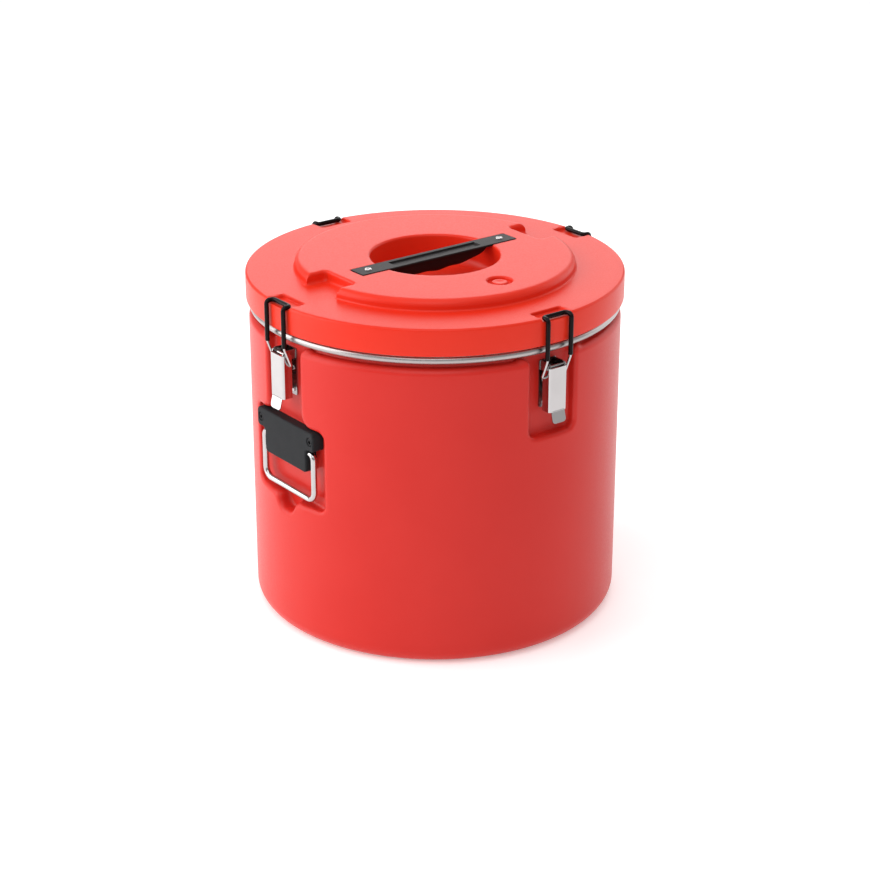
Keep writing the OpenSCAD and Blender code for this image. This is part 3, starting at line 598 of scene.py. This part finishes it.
# %% Lid
def lid_points():
    """The section carried round the axis; then each notch slides the points in plan and lowers to its
    floor whatever stands above it."""
    section, inset = lid_section()
    angle = lid_columns()[None, :]
    side = np.round(angle / 90)
    radius, height, inset, turn, side = (
        part.copy() for part in np.broadcast_arrays(
            section[:, :1], section[:, 1:], inset[:, None], np.radians(angle - 90 * side), side)
    )
    for where, floor, table, distance in lid_notches(side):
        slide_out, slide_across, share = pressed(
            lambda out, across: np.where(where, distance(out, across) - inset, FAR),
            radius * np.cos(turn), radius * np.sin(turn), table)
        height -= share * np.maximum(height - floor + inset, 0)
        turn += slide_across / np.maximum(radius, 1)
        radius += slide_out
    turn += np.radians(90 * side)
    return np.stack([radius * np.cos(turn), radius * np.sin(turn), height], axis=-1)


add_piece("moulded_lid", [(lid_points(), "columns")], "lid", lid_red, ["lid_shell"])

# %% [markdown]
# ## Pot, lining and seal
# These three are round all the way, so each is a section carried round the axis. The pot is a drawn steel
# cup whose edge is rolled into a bead. The lid's lining is a shallow moulded plug that reaches into the
# pot, and a rubber ring in its groove presses on the bead.

# %% Pot
POT_WALL, POT_CORNER_R, LEDGE_R, POT_FIT = 1.0, 15.0, 3.0, 0.3
POT_R, POT_FLOOR = BORE_R - POT_FIT, pot_low[2]
POT_TOP_ROW, POT_LOW_ROW = RIM_Z - 20, POT_FLOOR + POT_CORNER_R + 10
BEAD_R = (pot_high[2] - RIM_Z) / 2
BEAD_MID = (pot_high[0] - BEAD_R, RIM_Z + BEAD_R)
UNDER_LEDGE_END, OVER_LEDGE_END = BEAD_MID[0] - 1, BEAD_MID[0] - 5
bead_end = 180 + np.degrees(np.arcsin(1 - POT_WALL / BEAD_R))
corner_mid = (POT_R - POT_CORNER_R, POT_FLOOR + POT_CORNER_R)
inner_r, ledge_z, floor_z = POT_R - POT_WALL, RIM_Z + POT_WALL, POT_FLOOR + POT_WALL
pot_section = np.vstack([
    line((0, POT_FLOOR), (corner_mid[0] - ROW_GAP, POT_FLOOR), 4),
    arc(corner_mid, POT_CORNER_R, -90, 0, 10),
    line((POT_R, POT_TOP_ROW), (POT_R, RIM_Z), 3),
    line((POT_R + LEDGE_R, RIM_Z), (UNDER_LEDGE_END, RIM_Z), 3),
    arc(BEAD_MID, BEAD_R, -90, bead_end, 40),
    line((OVER_LEDGE_END, ledge_z), (POT_R + LEDGE_R, ledge_z), 3),
    arc((inner_r + LEDGE_R, ledge_z - LEDGE_R), LEDGE_R, 90, 180, 7),
    line((inner_r, POT_TOP_ROW), (inner_r, POT_LOW_ROW), 4),
    arc(corner_mid, POT_CORNER_R - POT_WALL, 0, -90, 10),
    line((corner_mid[0] - ROW_GAP, floor_z), (0, floor_z), 4),
])
add_piece("pot_with_rolled_rim", [(revolved(pot_section, columns=240), "columns")], "container",
          pot_steel, ["inner_pot"])

# %% Lining of the lid
pan_low, pan_high = box_mm("lid_pan")
seal_low, seal_high = box_mm("lid_gasket")
SEAL_W, GROOVE_FIT, PLUG_PLAY = 6.0, 0.05, 3.0
PLUG_R, PLUG_EDGE_R, PLUG_FOOT_R, FLANGE_EDGE_R = POT_R - PLUG_PLAY, 8.0, 2.0, 1.0
plug_mid = (PLUG_R - PLUG_EDGE_R, pan_low[2] + PLUG_EDGE_R)
plug_inner, flange_r = PLUG_R - WALL, pan_high[0] - FLANGE_EDGE_R
seal_in, seal_out = seal_high[0] - SEAL_W, seal_high[0]
groove_in, groove_out = seal_in - GROOVE_FIT, seal_out + GROOVE_FIT
pan_section = np.vstack([
    line((0, pan_low[2]), (plug_mid[0] - ROW_GAP, pan_low[2]), 4),
    arc(plug_mid, PLUG_EDGE_R, -90, 0, 10),
    arc((PLUG_R + PLUG_FOOT_R, LID_Z - PLUG_FOOT_R), PLUG_FOOT_R, 180, 90, 6),
    line((groove_in, LID_Z), (groove_in, seal_high[2])),
    line((groove_out, seal_high[2]), (groove_out, LID_Z)),
    arc((flange_r, LID_Z + FLANGE_EDGE_R), FLANGE_EDGE_R, -90, 0, 4),
    arc((flange_r, pan_high[2] - FLANGE_EDGE_R), FLANGE_EDGE_R, 0, 90, 4),
    line((plug_inner, pan_high[2]), (plug_inner, plug_mid[1] + 2 * ROW_GAP)),
    arc(plug_mid, PLUG_EDGE_R - WALL, 0, -90, 6),
    line((plug_mid[0] - ROW_GAP, pan_low[2] + WALL), (0, pan_low[2] + WALL), 3),
])
add_piece("lid_lining", [(revolved(pan_section, columns=200), "columns")], "lid", lid_red,
          ["lid_pan"])

# %% Seal
SEAL_LIP_R = 2.0
lip_z = seal_low[2] + SEAL_LIP_R
side_z = lip_z + ROW_GAP / 2
seal_section = np.vstack([
    line((seal_in, seal_high[2]), (seal_in, side_z), 3),
    arc((seal_in + SEAL_LIP_R, lip_z), SEAL_LIP_R, 180, 270, 7),
    arc((seal_out - SEAL_LIP_R, lip_z), SEAL_LIP_R, -90, 0, 7),
    line((seal_out, side_z), (seal_out, seal_high[2]), 3),
])
add_piece("rim_seal", [(revolved(seal_section, columns=200), "rows columns")], "lid",
          seal_rubber, ["lid_gasket"])

# %% [markdown]
# ## The vent's stopper
# A push-in stopper lets steam out before the lid is lifted. It is turned from one section: a flat head
# with a rounded edge and a thumb dish on top, on a stem that goes down into the lid.

# %% Vent stopper
vent_low, vent_high = box_mm("vent_plug")
STEM_R, STEM_EDGE_R, HEAD_R, HEAD_EDGE_R, HEAD_FOOT_R = 4.0, 1.0, vent_high[0], 1.6, 0.4
DISH_R, DISH_DEPTH, DISH_RIM_ANGLE, HEAD_GAP = 18.4, 0.8, -72, 0.2
head_z, stem_z = VENT_Z + HEAD_GAP, vent_low[2]
stopper_section = np.vstack([
    line((0, stem_z), (STEM_R - STEM_EDGE_R, stem_z), 2),
    arc((STEM_R - STEM_EDGE_R, stem_z + STEM_EDGE_R), STEM_EDGE_R, -90, 0, 4),
    line((STEM_R, head_z - ROW_GAP / 4), (STEM_R, head_z), 2),
    arc((HEAD_R - HEAD_FOOT_R, head_z + HEAD_FOOT_R), HEAD_FOOT_R, -90, 0, 3),
    arc((HEAD_R - HEAD_EDGE_R, vent_high[2] - HEAD_EDGE_R), HEAD_EDGE_R, 0, 90, 8),
    arc((0, vent_high[2] + DISH_R - DISH_DEPTH), DISH_R, DISH_RIM_ANGLE, -90, 8)[1:],
])
add_piece("vent_stopper", [(revolved(stopper_section, columns=96, centre=(0, -VENT_OUT)), "columns")], "vent",
          lid_red, ["vent_plug"])

# %% [markdown]
# ## The carrying strap
# The strap is one vinyl moulding screwed across the well. Its ends are flat and its middle swells down
# into a grip with shallow waves for the fingers. A long slot in the top lets the mould's core out. It is
# lofted: one closed section across the strap, whose width, depth and slot change along the length.

# %% Sizes of the strap
strap_low, strap_high = box_mm("strap")
STRAP_HALF, STRAP_SIDE, STRAP_TOP = strap_high
STRAP_UNDER, STRAP_TIP, STRAP_EDGE_R = SEAT_Z, 1.6, 0.7
GRIP_HALF, GRIP_SIDE, GRIP_DROP, GRIP_FULL = 68.0, 11.0, STRAP_UNDER - strap_low[2], 0.35
GRIP_WAVES, WAVE_H = 4, 1.6
SLOT_HALF, SLOT_SIDE, SLOT_DEPTH, SLOT_END_SOFT, SLOT_SIDE_SOFT = 62.0, 6.5, 2.0, 0.6, 0.5
TOP_FLAT = 0.94
print(f"strap {2 * STRAP_HALF:.0f} mm long, its grip hangs {GRIP_DROP:.0f} mm down")


# %% Stations and grip of the strap
def strap_stations():
    """Places along the strap, and how far the section shrinks at the ends, which roll over by a quarter
    circle."""
    roll = np.radians(np.linspace(90, 0, 7))
    end = STRAP_HALF - STRAP_EDGE_R * (1 - np.cos(roll))
    shrunk = STRAP_EDGE_R * (1 - np.sin(roll))
    spots = [way * at for at in (GRIP_HALF, SLOT_HALF, STRAP_HALF) for way in (-1, 1)]
    middle = graded(
        -STRAP_HALF + STRAP_EDGE_R, STRAP_HALF - STRAP_EDGE_R, step=4, fine=0.6, spots=spots, reach=3)[1:-1]
    along = np.concatenate([-end[::-1], middle, end])[:, None]
    shrink = np.concatenate([shrunk[::-1], np.zeros(len(middle)), shrunk])[:, None]
    return along, shrink


def grip_drop(along):
    """How far the grip hangs at its middle: a flat bulge, thin at both ends, less a row of cosine waves."""
    share = np.clip(along / (2 * GRIP_HALF) + 0.5, 0, 1)
    bulge = np.sin(np.pi * share) ** GRIP_FULL
    waves = WAVE_H * (1 - np.cos(2 * np.pi * GRIP_WAVES * share)) / 2 * np.sin(np.pi * share)
    return np.maximum(GRIP_DROP * bulge - waves, 0)


# %% Strap
def strap_points():
    """Sections across the strap at each station. The end narrows by a cut corner, the top sinks in the
    slot, and the underside hangs by a fourth-power arch."""
    along, shrink = strap_stations()
    side = STRAP_SIDE - np.maximum(np.abs(along) - STRAP_HALF + STRAP_TIP, 0) - shrink
    across = graded(
        -TOP_FLAT, TOP_FLAT, step=0.12, fine=0.02, spots=[-0.5, 0.5, -TOP_FLAT, TOP_FLAT], reach=0.05)
    across = np.concatenate([[-1], across, [1]])
    rounding = STRAP_EDGE_R * np.clip((np.abs(across) - TOP_FLAT) / (1 - TOP_FLAT), 0, 1) ** 2
    top_y = side * across
    sunk = soft_step(SLOT_HALF - np.abs(along), SLOT_END_SOFT)
    sunk = sunk * soft_step(SLOT_SIDE - np.abs(top_y), SLOT_SIDE_SOFT)
    top_z = STRAP_TOP - shrink - rounding - SLOT_DEPTH * sunk

    across = np.sin(np.radians(np.linspace(90, -90, 33)))
    inner = np.clip(np.abs(across) * STRAP_SIDE / GRIP_SIDE, 0, 1)
    under_y = side * across
    under_z = STRAP_UNDER + shrink - grip_drop(along) * np.sqrt(1 - inner**4)
    under_z = under_z + STRAP_EDGE_R / 2 * np.abs(across) ** 16

    y, z = np.hstack([top_y, under_y]), np.hstack([top_z, under_z])
    rows = np.stack([np.broadcast_to(along, y.shape), y, z], axis=-1)
    cap = np.broadcast_to(rows.mean(axis=1, keepdims=True), rows.shape)
    return np.concatenate([cap[:1], rows, cap[-1:]])


add_piece("carry_strap", [(strap_points(), "columns")], "lid", strap_vinyl, ["strap"])

# %% [markdown]
# ## Screws of the strap
# A pan-head screw with a cross recess is a small dome. It is a polar grid: the height is a dome less the
# cross, which is the lesser of two slots' distances. The shank below it is hidden, so it is a plain rod.

# %% Strap screws
screw_low, screw_high = box_mm("strap_screws")
SCREW_R, SCREW_EDGE_R, SCREW_CROWN, SHANK_R, SCREW_COLUMNS = 4.3, 0.9, 0.5, 2.0, 96
SCREW_OUT = screw_high[0] - SCREW_R
CROSS_LONG, CROSS_WIDE, CROSS_DEPTH, CROSS_EDGE = 2.3, 0.55, 1.0, 0.2


def screw_points(centre, top, seat, low):
    """Head of a screw on a polar grid: a parabola that falls away in a quarter circle at its edge, with a
    cross sunk into it, closed by its shank below."""
    flat = SCREW_R - SCREW_EDGE_R
    roll = np.radians(np.linspace(10, 90, 8))
    radius = np.concatenate([np.linspace(0, flat, 26), flat + SCREW_EDGE_R * np.sin(roll)])[:, None]
    angle = np.linspace(0, 2 * np.pi, SCREW_COLUMNS, endpoint=False)[None, :]
    x, y = radius * np.cos(angle), radius * np.sin(angle)
    past = np.clip(radius - flat, 0, SCREW_EDGE_R)
    fall = SCREW_EDGE_R - np.sqrt(SCREW_EDGE_R**2 - past**2)
    dome = top - SCREW_CROWN * (radius / SCREW_R) ** 2 - fall
    cross = np.minimum(
        rounded_box(x, y, CROSS_LONG, CROSS_WIDE, CROSS_EDGE),
        rounded_box(x, y, CROSS_WIDE, CROSS_LONG, CROSS_EDGE))
    head = np.stack([x, y, dome - CROSS_DEPTH * soft_step(-cross, CROSS_EDGE)], axis=-1)
    below = np.array([[SCREW_R, seat], [SHANK_R, seat], [SHANK_R, low], [0, low]])
    return np.concatenate([head, revolved(below, SCREW_COLUMNS)]) + np.array([*centre, 0])


screw_grids = [
    (screw_points((way * SCREW_OUT, 0), screw_high[2], STRAP_TOP, screw_low[2]), "columns") for way in (-1, 1)
]
add_piece("strap_screw_pair", screw_grids, "lid", polished_steel, ["strap_screws"])

# %% [markdown]
# ## Bent rods
# Latch loops and drop handles are bent from rod. A path with rounded corners is worked out first, each
# corner as an arc between its two tangent points. Then a circle is carried along it. Its frame is turned
# from one station to the next by the least rotation, so the tube doesn't twist.

# %% Rounded corners
def unit(vectors):
    """Vectors made one long."""
    return vectors / np.linalg.norm(vectors, axis=-1, keepdims=True)


def corner_arcs(before, corners, after, radii, count):
    """Arcs that round corners between the points before and after them. A centre lies on the corner's
    bisector, at the radius over the sine of the half angle, and the arc sweeps between the tangent points."""
    back, on = unit(before - corners), unit(after - corners)
    half = np.arccos(np.clip((back * on).sum(axis=1, keepdims=True), -1, 1)) / 2
    middle, side = unit(back + on), unit(on - back)
    centre = corners + middle * radii / np.sin(half)
    sweep = (np.pi / 2 - half)[..., None] * np.linspace(-1, 1, count)[None, :, None]
    arcs = side[:, None] * np.sin(sweep) - middle[:, None] * np.cos(sweep)
    return (centre[:, None] + radii[..., None] * arcs).reshape(-1, corners.shape[1])


def bent_path(corners, radii, count=9):
    """Path through corners in space, each inner corner rounded by an arc of its radius."""
    corners, radii = np.asarray(corners, float), np.asarray(radii, float)[:, None]
    arcs = corner_arcs(corners[:-2], corners[1:-1], corners[2:], radii, count)
    return np.vstack([corners[:1], arcs, corners[-1:]])


# %% Tubes
ASKEW = [0.31, 0.52, 0.79]


def tube(path, radius, sides, dome=0.3):
    """A circle carried along a path, with its ends rounded over by a dome and closed. The first frame
    starts from a direction that no rod here follows."""
    ahead = unit(np.gradient(path, axis=0))
    frames = [unit(np.cross(ahead[0], ASKEW))]
    for way in ahead[1:]:
        frames.append(unit(frames[-1] - way * np.dot(way, frames[-1])))
    normal = np.array(frames)[:, None]
    other = np.cross(ahead, normal[:, 0])[:, None]
    angle = np.linspace(0, 2 * np.pi, sides, endpoint=False)[None, :, None]
    ring = normal * np.cos(angle) + other * np.sin(angle)
    rows = path[:, None] + radius * ring
    ends = [
        np.concatenate([
            path[i] + way * dome * ahead[i] * np.sin(t) + (radius - dome + dome * np.cos(t)) * ring[i][None]
            for t in np.radians([45, 90])
        ] + [np.broadcast_to(path[i] + way * dome * ahead[i], (1, sides, 3))])
        for i, way in ((0, -1), (-1, 1))
    ]
    return np.concatenate([ends[0][::-1], rows, ends[1]]), "columns"


def mirrored(half):
    """Corners of one half of a rod, and then those of the other half, which lies across from it."""
    return np.array(half + [[out, -across, height] for out, across, height in reversed(half)])


# %% [markdown]
# ## Latch loops
# Each loop is a bent wire whose upper part wears a black sleeve. From its two pins in the lever it rises
# outwards to a knee, goes up past the rim, turns in over the lid's edge and crosses in the notch.

# %% Latch loops
WIRE_R, SLEEVE_R, LOOP_HALF, SLEEVE_START = 1.5, 2.7, 16.5, 1.5
LEVER_HALF, PIN_INSIDE = 12.5, 1.1
KNEE_Z = SHOULDER_Z - 1.0
LEG_OUT, BAR_OUT, BAR_Z = LID_R + 3.3, LID_R - 6.0, LOOP_NOTCH_Z + 3.5
PIN_BEND, KNEE_BEND, LOOP_BEND = 3.0, 10.0, 4.0


def loop_corners(pivot_out, pivot_z):
    """Corners of a loop's centre line from one pin to the other, and the bend at each."""
    half = [
        [pivot_out, LEVER_HALF - PIN_INSIDE, pivot_z], [pivot_out, LOOP_HALF, pivot_z],
        [LEG_OUT, LOOP_HALF, KNEE_Z], [LEG_OUT, LOOP_HALF, BAR_Z], [BAR_OUT, LOOP_HALF, BAR_Z],
    ]
    bends = [PIN_BEND, KNEE_BEND, LOOP_BEND, LOOP_BEND]
    return mirrored(half), bends + bends[::-1]


for side, degrees in LATCH_SIDES.items():
    corners, bends = loop_corners(*axis_mm(f"loop_{side}"))
    wire_path = bent_path(corners, bends)
    sleeve_ends = [[LEG_OUT, way * LOOP_HALF, KNEE_Z + SLEEVE_START] for way in (1, -1)]
    sleeve_path = bent_path(np.vstack([sleeve_ends[:1], corners[3:-3], sleeve_ends[1:]]), bends[2:-2])
    add_piece(f"loop_wire_{side}", [tube(turned(wire_path, degrees), WIRE_R, sides=14)], f"bail_{side}",
              drawn_wire, [f"bail_wire_{side}"])
    add_piece(f"loop_sleeve_{side}", [tube(turned(sleeve_path, degrees), SLEEVE_R, sides=22, dome=0.6)],
              f"bail_{side}", dipped_vinyl, [f"bail_sleeve_{side}"])

# %% [markdown]
# ## Latch levers
# A lever is pressed from sheet: a channel whose flanges carry two round bosses for the pins, and a tongue
# that is bent out for a finger. Sheet is made from its middle surface: the surface is moved half the
# thickness to both sides, the two skins make one closed loop, and the end rows close on the middle.

# %% Sheet
SHEET = 1.2


def sheet_points(middle):
    """Closed sheet about a middle surface. The normal is the cross product of the surface's slopes."""
    normal = np.cross(np.gradient(middle, axis=0), np.gradient(middle, axis=1))
    normal /= np.maximum(np.linalg.norm(normal, axis=-1, keepdims=True), 1e-9)
    skins = [middle + normal * SHEET / 2 * way for way in (1, -1)]
    loop = np.concatenate([skins[0], skins[1][:, ::-1]], axis=1)
    core = np.concatenate([middle, middle[:, ::-1]], axis=1)
    return np.concatenate([core[:1], loop, core[-1:]])


# %% Channel of the lever
CHANNEL_DEPTH, CHANNEL_BEND, BOSS_R = 12.5, 2.4, 4.0


def lever_channel(front, top, low, axle, loop):
    """Middle surface of the channel. Across it, fold runs over a flange from 0 to 1, over a bend to 2 and
    over half the front to 3, and then back; down it runs the height. A flange's edge swells round each pin
    by the half chord of the boss at that height, and its top is raised to the boss's crown."""
    fold = np.concatenate([np.linspace(0, 1, 31), np.linspace(1, 2, 9)[1:], np.linspace(2, 3, 7)[1:]])
    way = np.concatenate([np.ones(len(fold)), -np.ones(len(fold) - 1)])[None, :]
    fold = np.concatenate([fold, fold[::-1][1:]])[None, :]
    height = np.linspace(low, top, 90)[:, None]
    edge = np.full_like(height, front - CHANNEL_DEPTH)
    for pin_out, pin_z in (axle, loop):
        chord = np.sqrt(np.maximum(BOSS_R**2 - (height - pin_z) ** 2, 0))
        edge = np.where(chord > 0, np.minimum(edge, pin_out - chord), edge)
    bend_out, bend_side = front - SHEET / 2 - CHANNEL_BEND, LEVER_HALF - SHEET / 2 - CHANNEL_BEND
    angle = np.pi / 2 * np.clip(fold - 1, 0, 1)
    out = np.where(fold < 1, edge + (bend_out - edge) * fold, bend_out + CHANNEL_BEND * np.sin(angle))
    across = np.where(fold < 2, bend_side + CHANNEL_BEND * np.cos(angle), bend_side * (3 - fold))
    out, across, height = np.broadcast_arrays(out, across * way, height)
    rise = top - axle[1]
    crown = np.sqrt(np.maximum(BOSS_R**2 - (out - axle[0]) ** 2, 0))
    stretch = np.where(fold < 1, np.maximum(crown, rise), rise) / rise
    height = np.where(height > axle[1], axle[1] + (height - axle[1]) * stretch, height)
    return np.stack([out, across, height], axis=-1)


# %% Latch levers
LEVER_PROUD, LEVER_RISE, LEVER_LEN = 6.5, 0.5, 51.5
TONGUE_HALF, TONGUE_LEN, TONGUE_TILT, TONGUE_CORNER, TONGUE_LAP = 9.5, 13.5, 14.0, 4.0, 1.0


def lever_tongue(front, low):
    """Middle surface of the tongue: it leaves the front's lower edge, leans out and has round corners."""
    down = np.linspace(-TONGUE_LAP, TONGUE_LEN, 40)[:, None]
    near_end = np.clip(down - TONGUE_LEN + TONGUE_CORNER, 0, TONGUE_CORNER)
    half = TONGUE_HALF - TONGUE_CORNER + np.sqrt(TONGUE_CORNER**2 - near_end**2)
    across = half * np.linspace(-1, 1, 25)[None, :]
    lean = np.radians(TONGUE_TILT)
    out = front - SHEET / 2 + np.maximum(down, 0) * np.sin(lean)
    return np.stack(np.broadcast_arrays(out, across, low - down * np.cos(lean)), axis=-1)


for side, degrees in LATCH_SIDES.items():
    axle, loop = axis_mm(f"latch_{side}"), axis_mm(f"loop_{side}")
    front, top = BODY_R + LEVER_PROUD, axle[1] + LEVER_RISE
    low = top - LEVER_LEN
    sheets = [lever_channel(front, top, low, axle, loop), lever_tongue(front, low)]
    grids = [(turned(sheet_points(sheet), degrees), "columns") for sheet in sheets]
    add_piece(
        f"pressed_lever_{side}", grids, f"lever_{side}", polished_steel, [f"lever_{side}"])

# %% [markdown]
# ## Handle brackets
# Each drop handle turns in a black moulded block with two wings. The block is a plate: its outline with
# rounded corners is drawn in over a rounded front edge and then to its middle, which works because every
# point of the outline can be seen from there. The screws' counterbores are pressed into the front.

# %% Outline of a plate
def rounded_outline(corners, radius, spacing):
    """Closed outline through corners, each rounded by an arc, resampled at an even spacing."""
    corners = np.asarray(corners, float)
    before, after = np.roll(corners, 1, axis=0), np.roll(corners, -1, axis=0)
    points = corner_arcs(before, corners, after, np.full((len(corners), 1), radius), 12)
    ring = np.vstack([points, points[:1]])
    run = np.concatenate([[0], np.cumsum(np.hypot(*np.diff(ring, axis=0).T))])
    places = np.linspace(0, run[-1], int(run[-1] / spacing), endpoint=False)
    return np.column_stack([np.interp(places, run, ring[:, i]) for i in (0, 1)])


def drawn_in(outline, amount):
    """An outline that runs anticlockwise, moved inwards along its normals."""
    ahead = unit(np.roll(outline, -1, axis=0) - np.roll(outline, 1, axis=0))
    return outline + amount * np.column_stack([-ahead[:, 1], ahead[:, 0]])


# %% Handle brackets
BRACKET_CORNER, BRACKET_EDGE, OUTLINE_STEP = 5.0, 2.2, 0.7
WING_H, BLOCK_HALF = 23.0, 41.0
BORE_ACROSS, COUNTERBORE_R, COUNTERBORE_DEPTH = 48.5, 4.8, 3.0
EDGE_PULL, FRONT_BAND = 0.02, 0.01


def bracket_points(half, low, high, back, front):
    """Rings from the middle of the back, over the outline and the rounded front edge, to the middle of
    the front, each with its inset, its distance out and its pull to the middle; then the counterbores
    slide and sink the front's points."""
    wing_z, middle = high - WING_H, np.array([0, high - WING_H / 2])
    outline = rounded_outline([
        (-half, wing_z), (-BLOCK_HALF, wing_z), (-BLOCK_HALF, low), (BLOCK_HALF, low), (BLOCK_HALF, wing_z),
        (half, wing_z), (half, high), (-half, high),
    ], BRACKET_CORNER, OUTLINE_STEP)
    over = np.radians(np.linspace(0, 90, 7))
    rings = [(0.0, back, pull) for pull in (1.0, EDGE_PULL, 0.0)]
    rings += [(BRACKET_EDGE * (1 - np.cos(a)), front - BRACKET_EDGE * (1 - np.sin(a)), 0.0) for a in over]
    rings += [(BRACKET_EDGE, front, pull) for pull in np.linspace(0, 1, 90)[1:]]
    plan = np.stack([drawn_in(outline, inset) * (1 - pull) + middle * pull for inset, _, pull in rings])
    across, height = plan[..., 0], plan[..., 1]
    out = np.broadcast_to(np.array([at for _, at, _ in rings])[:, None], across.shape)
    slide_a, slide_z, share = pressed(
        lambda a, z: np.hypot(np.abs(a) - BORE_ACROSS, z - middle[1]) - COUNTERBORE_R, across, height,
        rolled_edge(COUNTERBORE_DEPTH, lip=0.8, foot=0.5, reach=1.8))
    on_front = np.where(out > front - FRONT_BAND, 1, 0)
    return np.stack([
        out - on_front * share * COUNTERBORE_DEPTH, across + on_front * slide_a, height + on_front * slide_z,
    ], axis=-1)


for side, degrees in HANDLE_SIDES.items():
    bracket_low, bracket_high = box_mm(f"handle_bracket_{side}")
    reach = np.abs([bracket_low[0], bracket_high[0]])
    points = bracket_points(bracket_high[1], bracket_low[2], bracket_high[2], reach.min(), reach.max())
    add_piece(f"handle_block_{side}", [(turned(points, degrees), "columns")], "container",
              grained_black, [f"handle_bracket_{side}"])

# %% [markdown]
# ## Drop handles
# A drop handle is a steel rod bent to three sides of a rectangle, whose two ends turn inside the block.
# It could be made from cylinders and corner pieces, but a path with a circle carried along it has no seams.

# %% Drop handles
ROD_R, ROD_HALF, GRIP_ROD_Z, PIN_IN = 3.5, 49.0, 182.0, 30.0
UPPER_BEND, LOWER_BEND = 6.0, 12.0
for side, degrees in HANDLE_SIDES.items():
    pivot_out, pivot_z = axis_mm(f"handle_{side}")
    corners = mirrored([
        [pivot_out, PIN_IN, pivot_z], [pivot_out, ROD_HALF, pivot_z], [pivot_out, ROD_HALF, GRIP_ROD_Z]])
    path = bent_path(corners, [UPPER_BEND, LOWER_BEND, LOWER_BEND, UPPER_BEND], count=14)
    add_piece(f"drop_handle_{side}", [tube(turned(path, degrees), ROD_R, sides=28)], f"handle_{side}",
              drawn_wire, [f"handle_bail_{side}"])

# %% [markdown]
# ## Solids that stay
# What is hidden inside, or already has its right shape, keeps its solid and only gets a finish.

# %% Finish the solids that stay
# The latch bases take the pressed steel whose darker colour is painted shade for the inside of the lever's
# channel.
KEPT = {
    "insulation_foam": rigid_foam, "lid_foam": rigid_foam, "vent_bush": bush_nylon,
    "strap_inserts": turned_brass, "latch_base": pressed_steel_painted_shade, "latch_axle": polished_steel,
    "latch_rivets": polished_steel, "handle_screws": black_screw,
}
for name, solid in frame["nodes"].items():
    finish = next((made for start, made in KEPT.items() if name.startswith(start)), None)
    if finish:
        for place in solid.material_slots:
            place.material = finish
print("solids kept:", sum(not solid.hide_render for solid in frame["nodes"].values()))

# %% [markdown]
# ## Floor, light and camera
# The floor is a light table, so it stays white to the edge of the picture. Large soft panels stand round
# the object: one above, one high in front that lights the well, a large one on the left that models the
# round body, one behind that lays a pale sheen on the lid, and a weak one that lifts the right edge. The
# camera stands where the photograph was taken: a long lens, a little above the object.

# %% Floor
FLOOR_HALF = 60000.0
edge = [-FLOOR_HALF, FLOOR_HALF]
floor_mesh = bpy.data.meshes.new("studio_floor")
fill_mesh(floor_mesh, [(np.stack([*np.meshgrid(edge, edge), np.zeros((2, 2))], axis=-1), "")])
# Acrylic sheet that is lit from below: an even white without a highlight.
floor_mesh.materials.append(surface(
    "light_table_acrylic", "#f1f1f1", "#f5f5f5", patch=400, rough=(0.7, 0.8), grain=3.0, relief=0.01,
    emission_color=linear("#ffffff"), emission_strength=0.28))
floor = bpy.data.objects.new("studio_floor", floor_mesh)
bpy.context.scene.collection.objects.link(floor)
print(f"floor {2 * FLOOR_HALF * MM:.0f} m wide")

# %% Light
TARGET = Vector((0, 0, 0.1944))
WORLD_GLOW = 0.45
PANELS = {
    "top_panel": ((0.0, 0.0, 3.2), 3.0, 0.9),
    "front_panel": ((-1.5, -1.5, 2.7), 2.2, 1.75),
    "left_panel": ((-2.2, 1.4, 1.25), 3.0, 2.9),
    "back_panel": ((1.95, 2.55, 1.9), 2.6, 1.45),
    "right_panel": ((2.5, -0.2, 1.1), 2.0, 1.2),
}


def aim(thing, target):
    """Turns a lamp or camera so that it looks at the target."""
    thing.rotation_euler = (Vector(target) - thing.location).to_track_quat("-Z", "Y").to_euler()


def soft_panel(name, place, size, glow):
    """A square panel at a place in metres, aimed at the object. Its power is its glow times pi times its
    area."""
    data = bpy.data.lights.new(name, "AREA")
    data.size = size
    data.energy = glow * np.pi * size**2
    lamp = bpy.data.objects.new(name, data)
    lamp.location = place
    aim(lamp, TARGET)
    bpy.context.scene.collection.objects.link(lamp)


for name, panel in PANELS.items():
    soft_panel(name, *panel)
world = bpy.data.worlds.new("studio")
world.use_nodes = True
background = world.node_tree.nodes["Background"]
background.inputs["Color"].default_value = linear("#ffffff")
background.inputs["Strength"].default_value = WORLD_GLOW
bpy.context.scene.world = world
bpy.context.scene.view_settings.view_transform = "Standard"
print(len(PANELS), "panels and a pale world")

# %% Camera
CAMERA_TURN, CAMERA_RISE, CAMERA_DISTANCE = np.radians(-37.5), np.radians(22.83), 2.6294
LENS, SENSOR = 90.74, 36.0
camera = bpy.data.objects.new("camera", bpy.data.cameras.new("camera"))
camera.data.lens = LENS
camera.data.sensor_width = SENSOR
camera.location = TARGET + CAMERA_DISTANCE * Vector((
    np.sin(CAMERA_TURN) * np.cos(CAMERA_RISE),
    -np.cos(CAMERA_TURN) * np.cos(CAMERA_RISE),
    np.sin(CAMERA_RISE),
))
aim(camera, TARGET)
bpy.context.scene.collection.objects.link(camera)
bpy.context.scene.camera = camera
print("camera at", [round(value, 3) for value in camera.location])
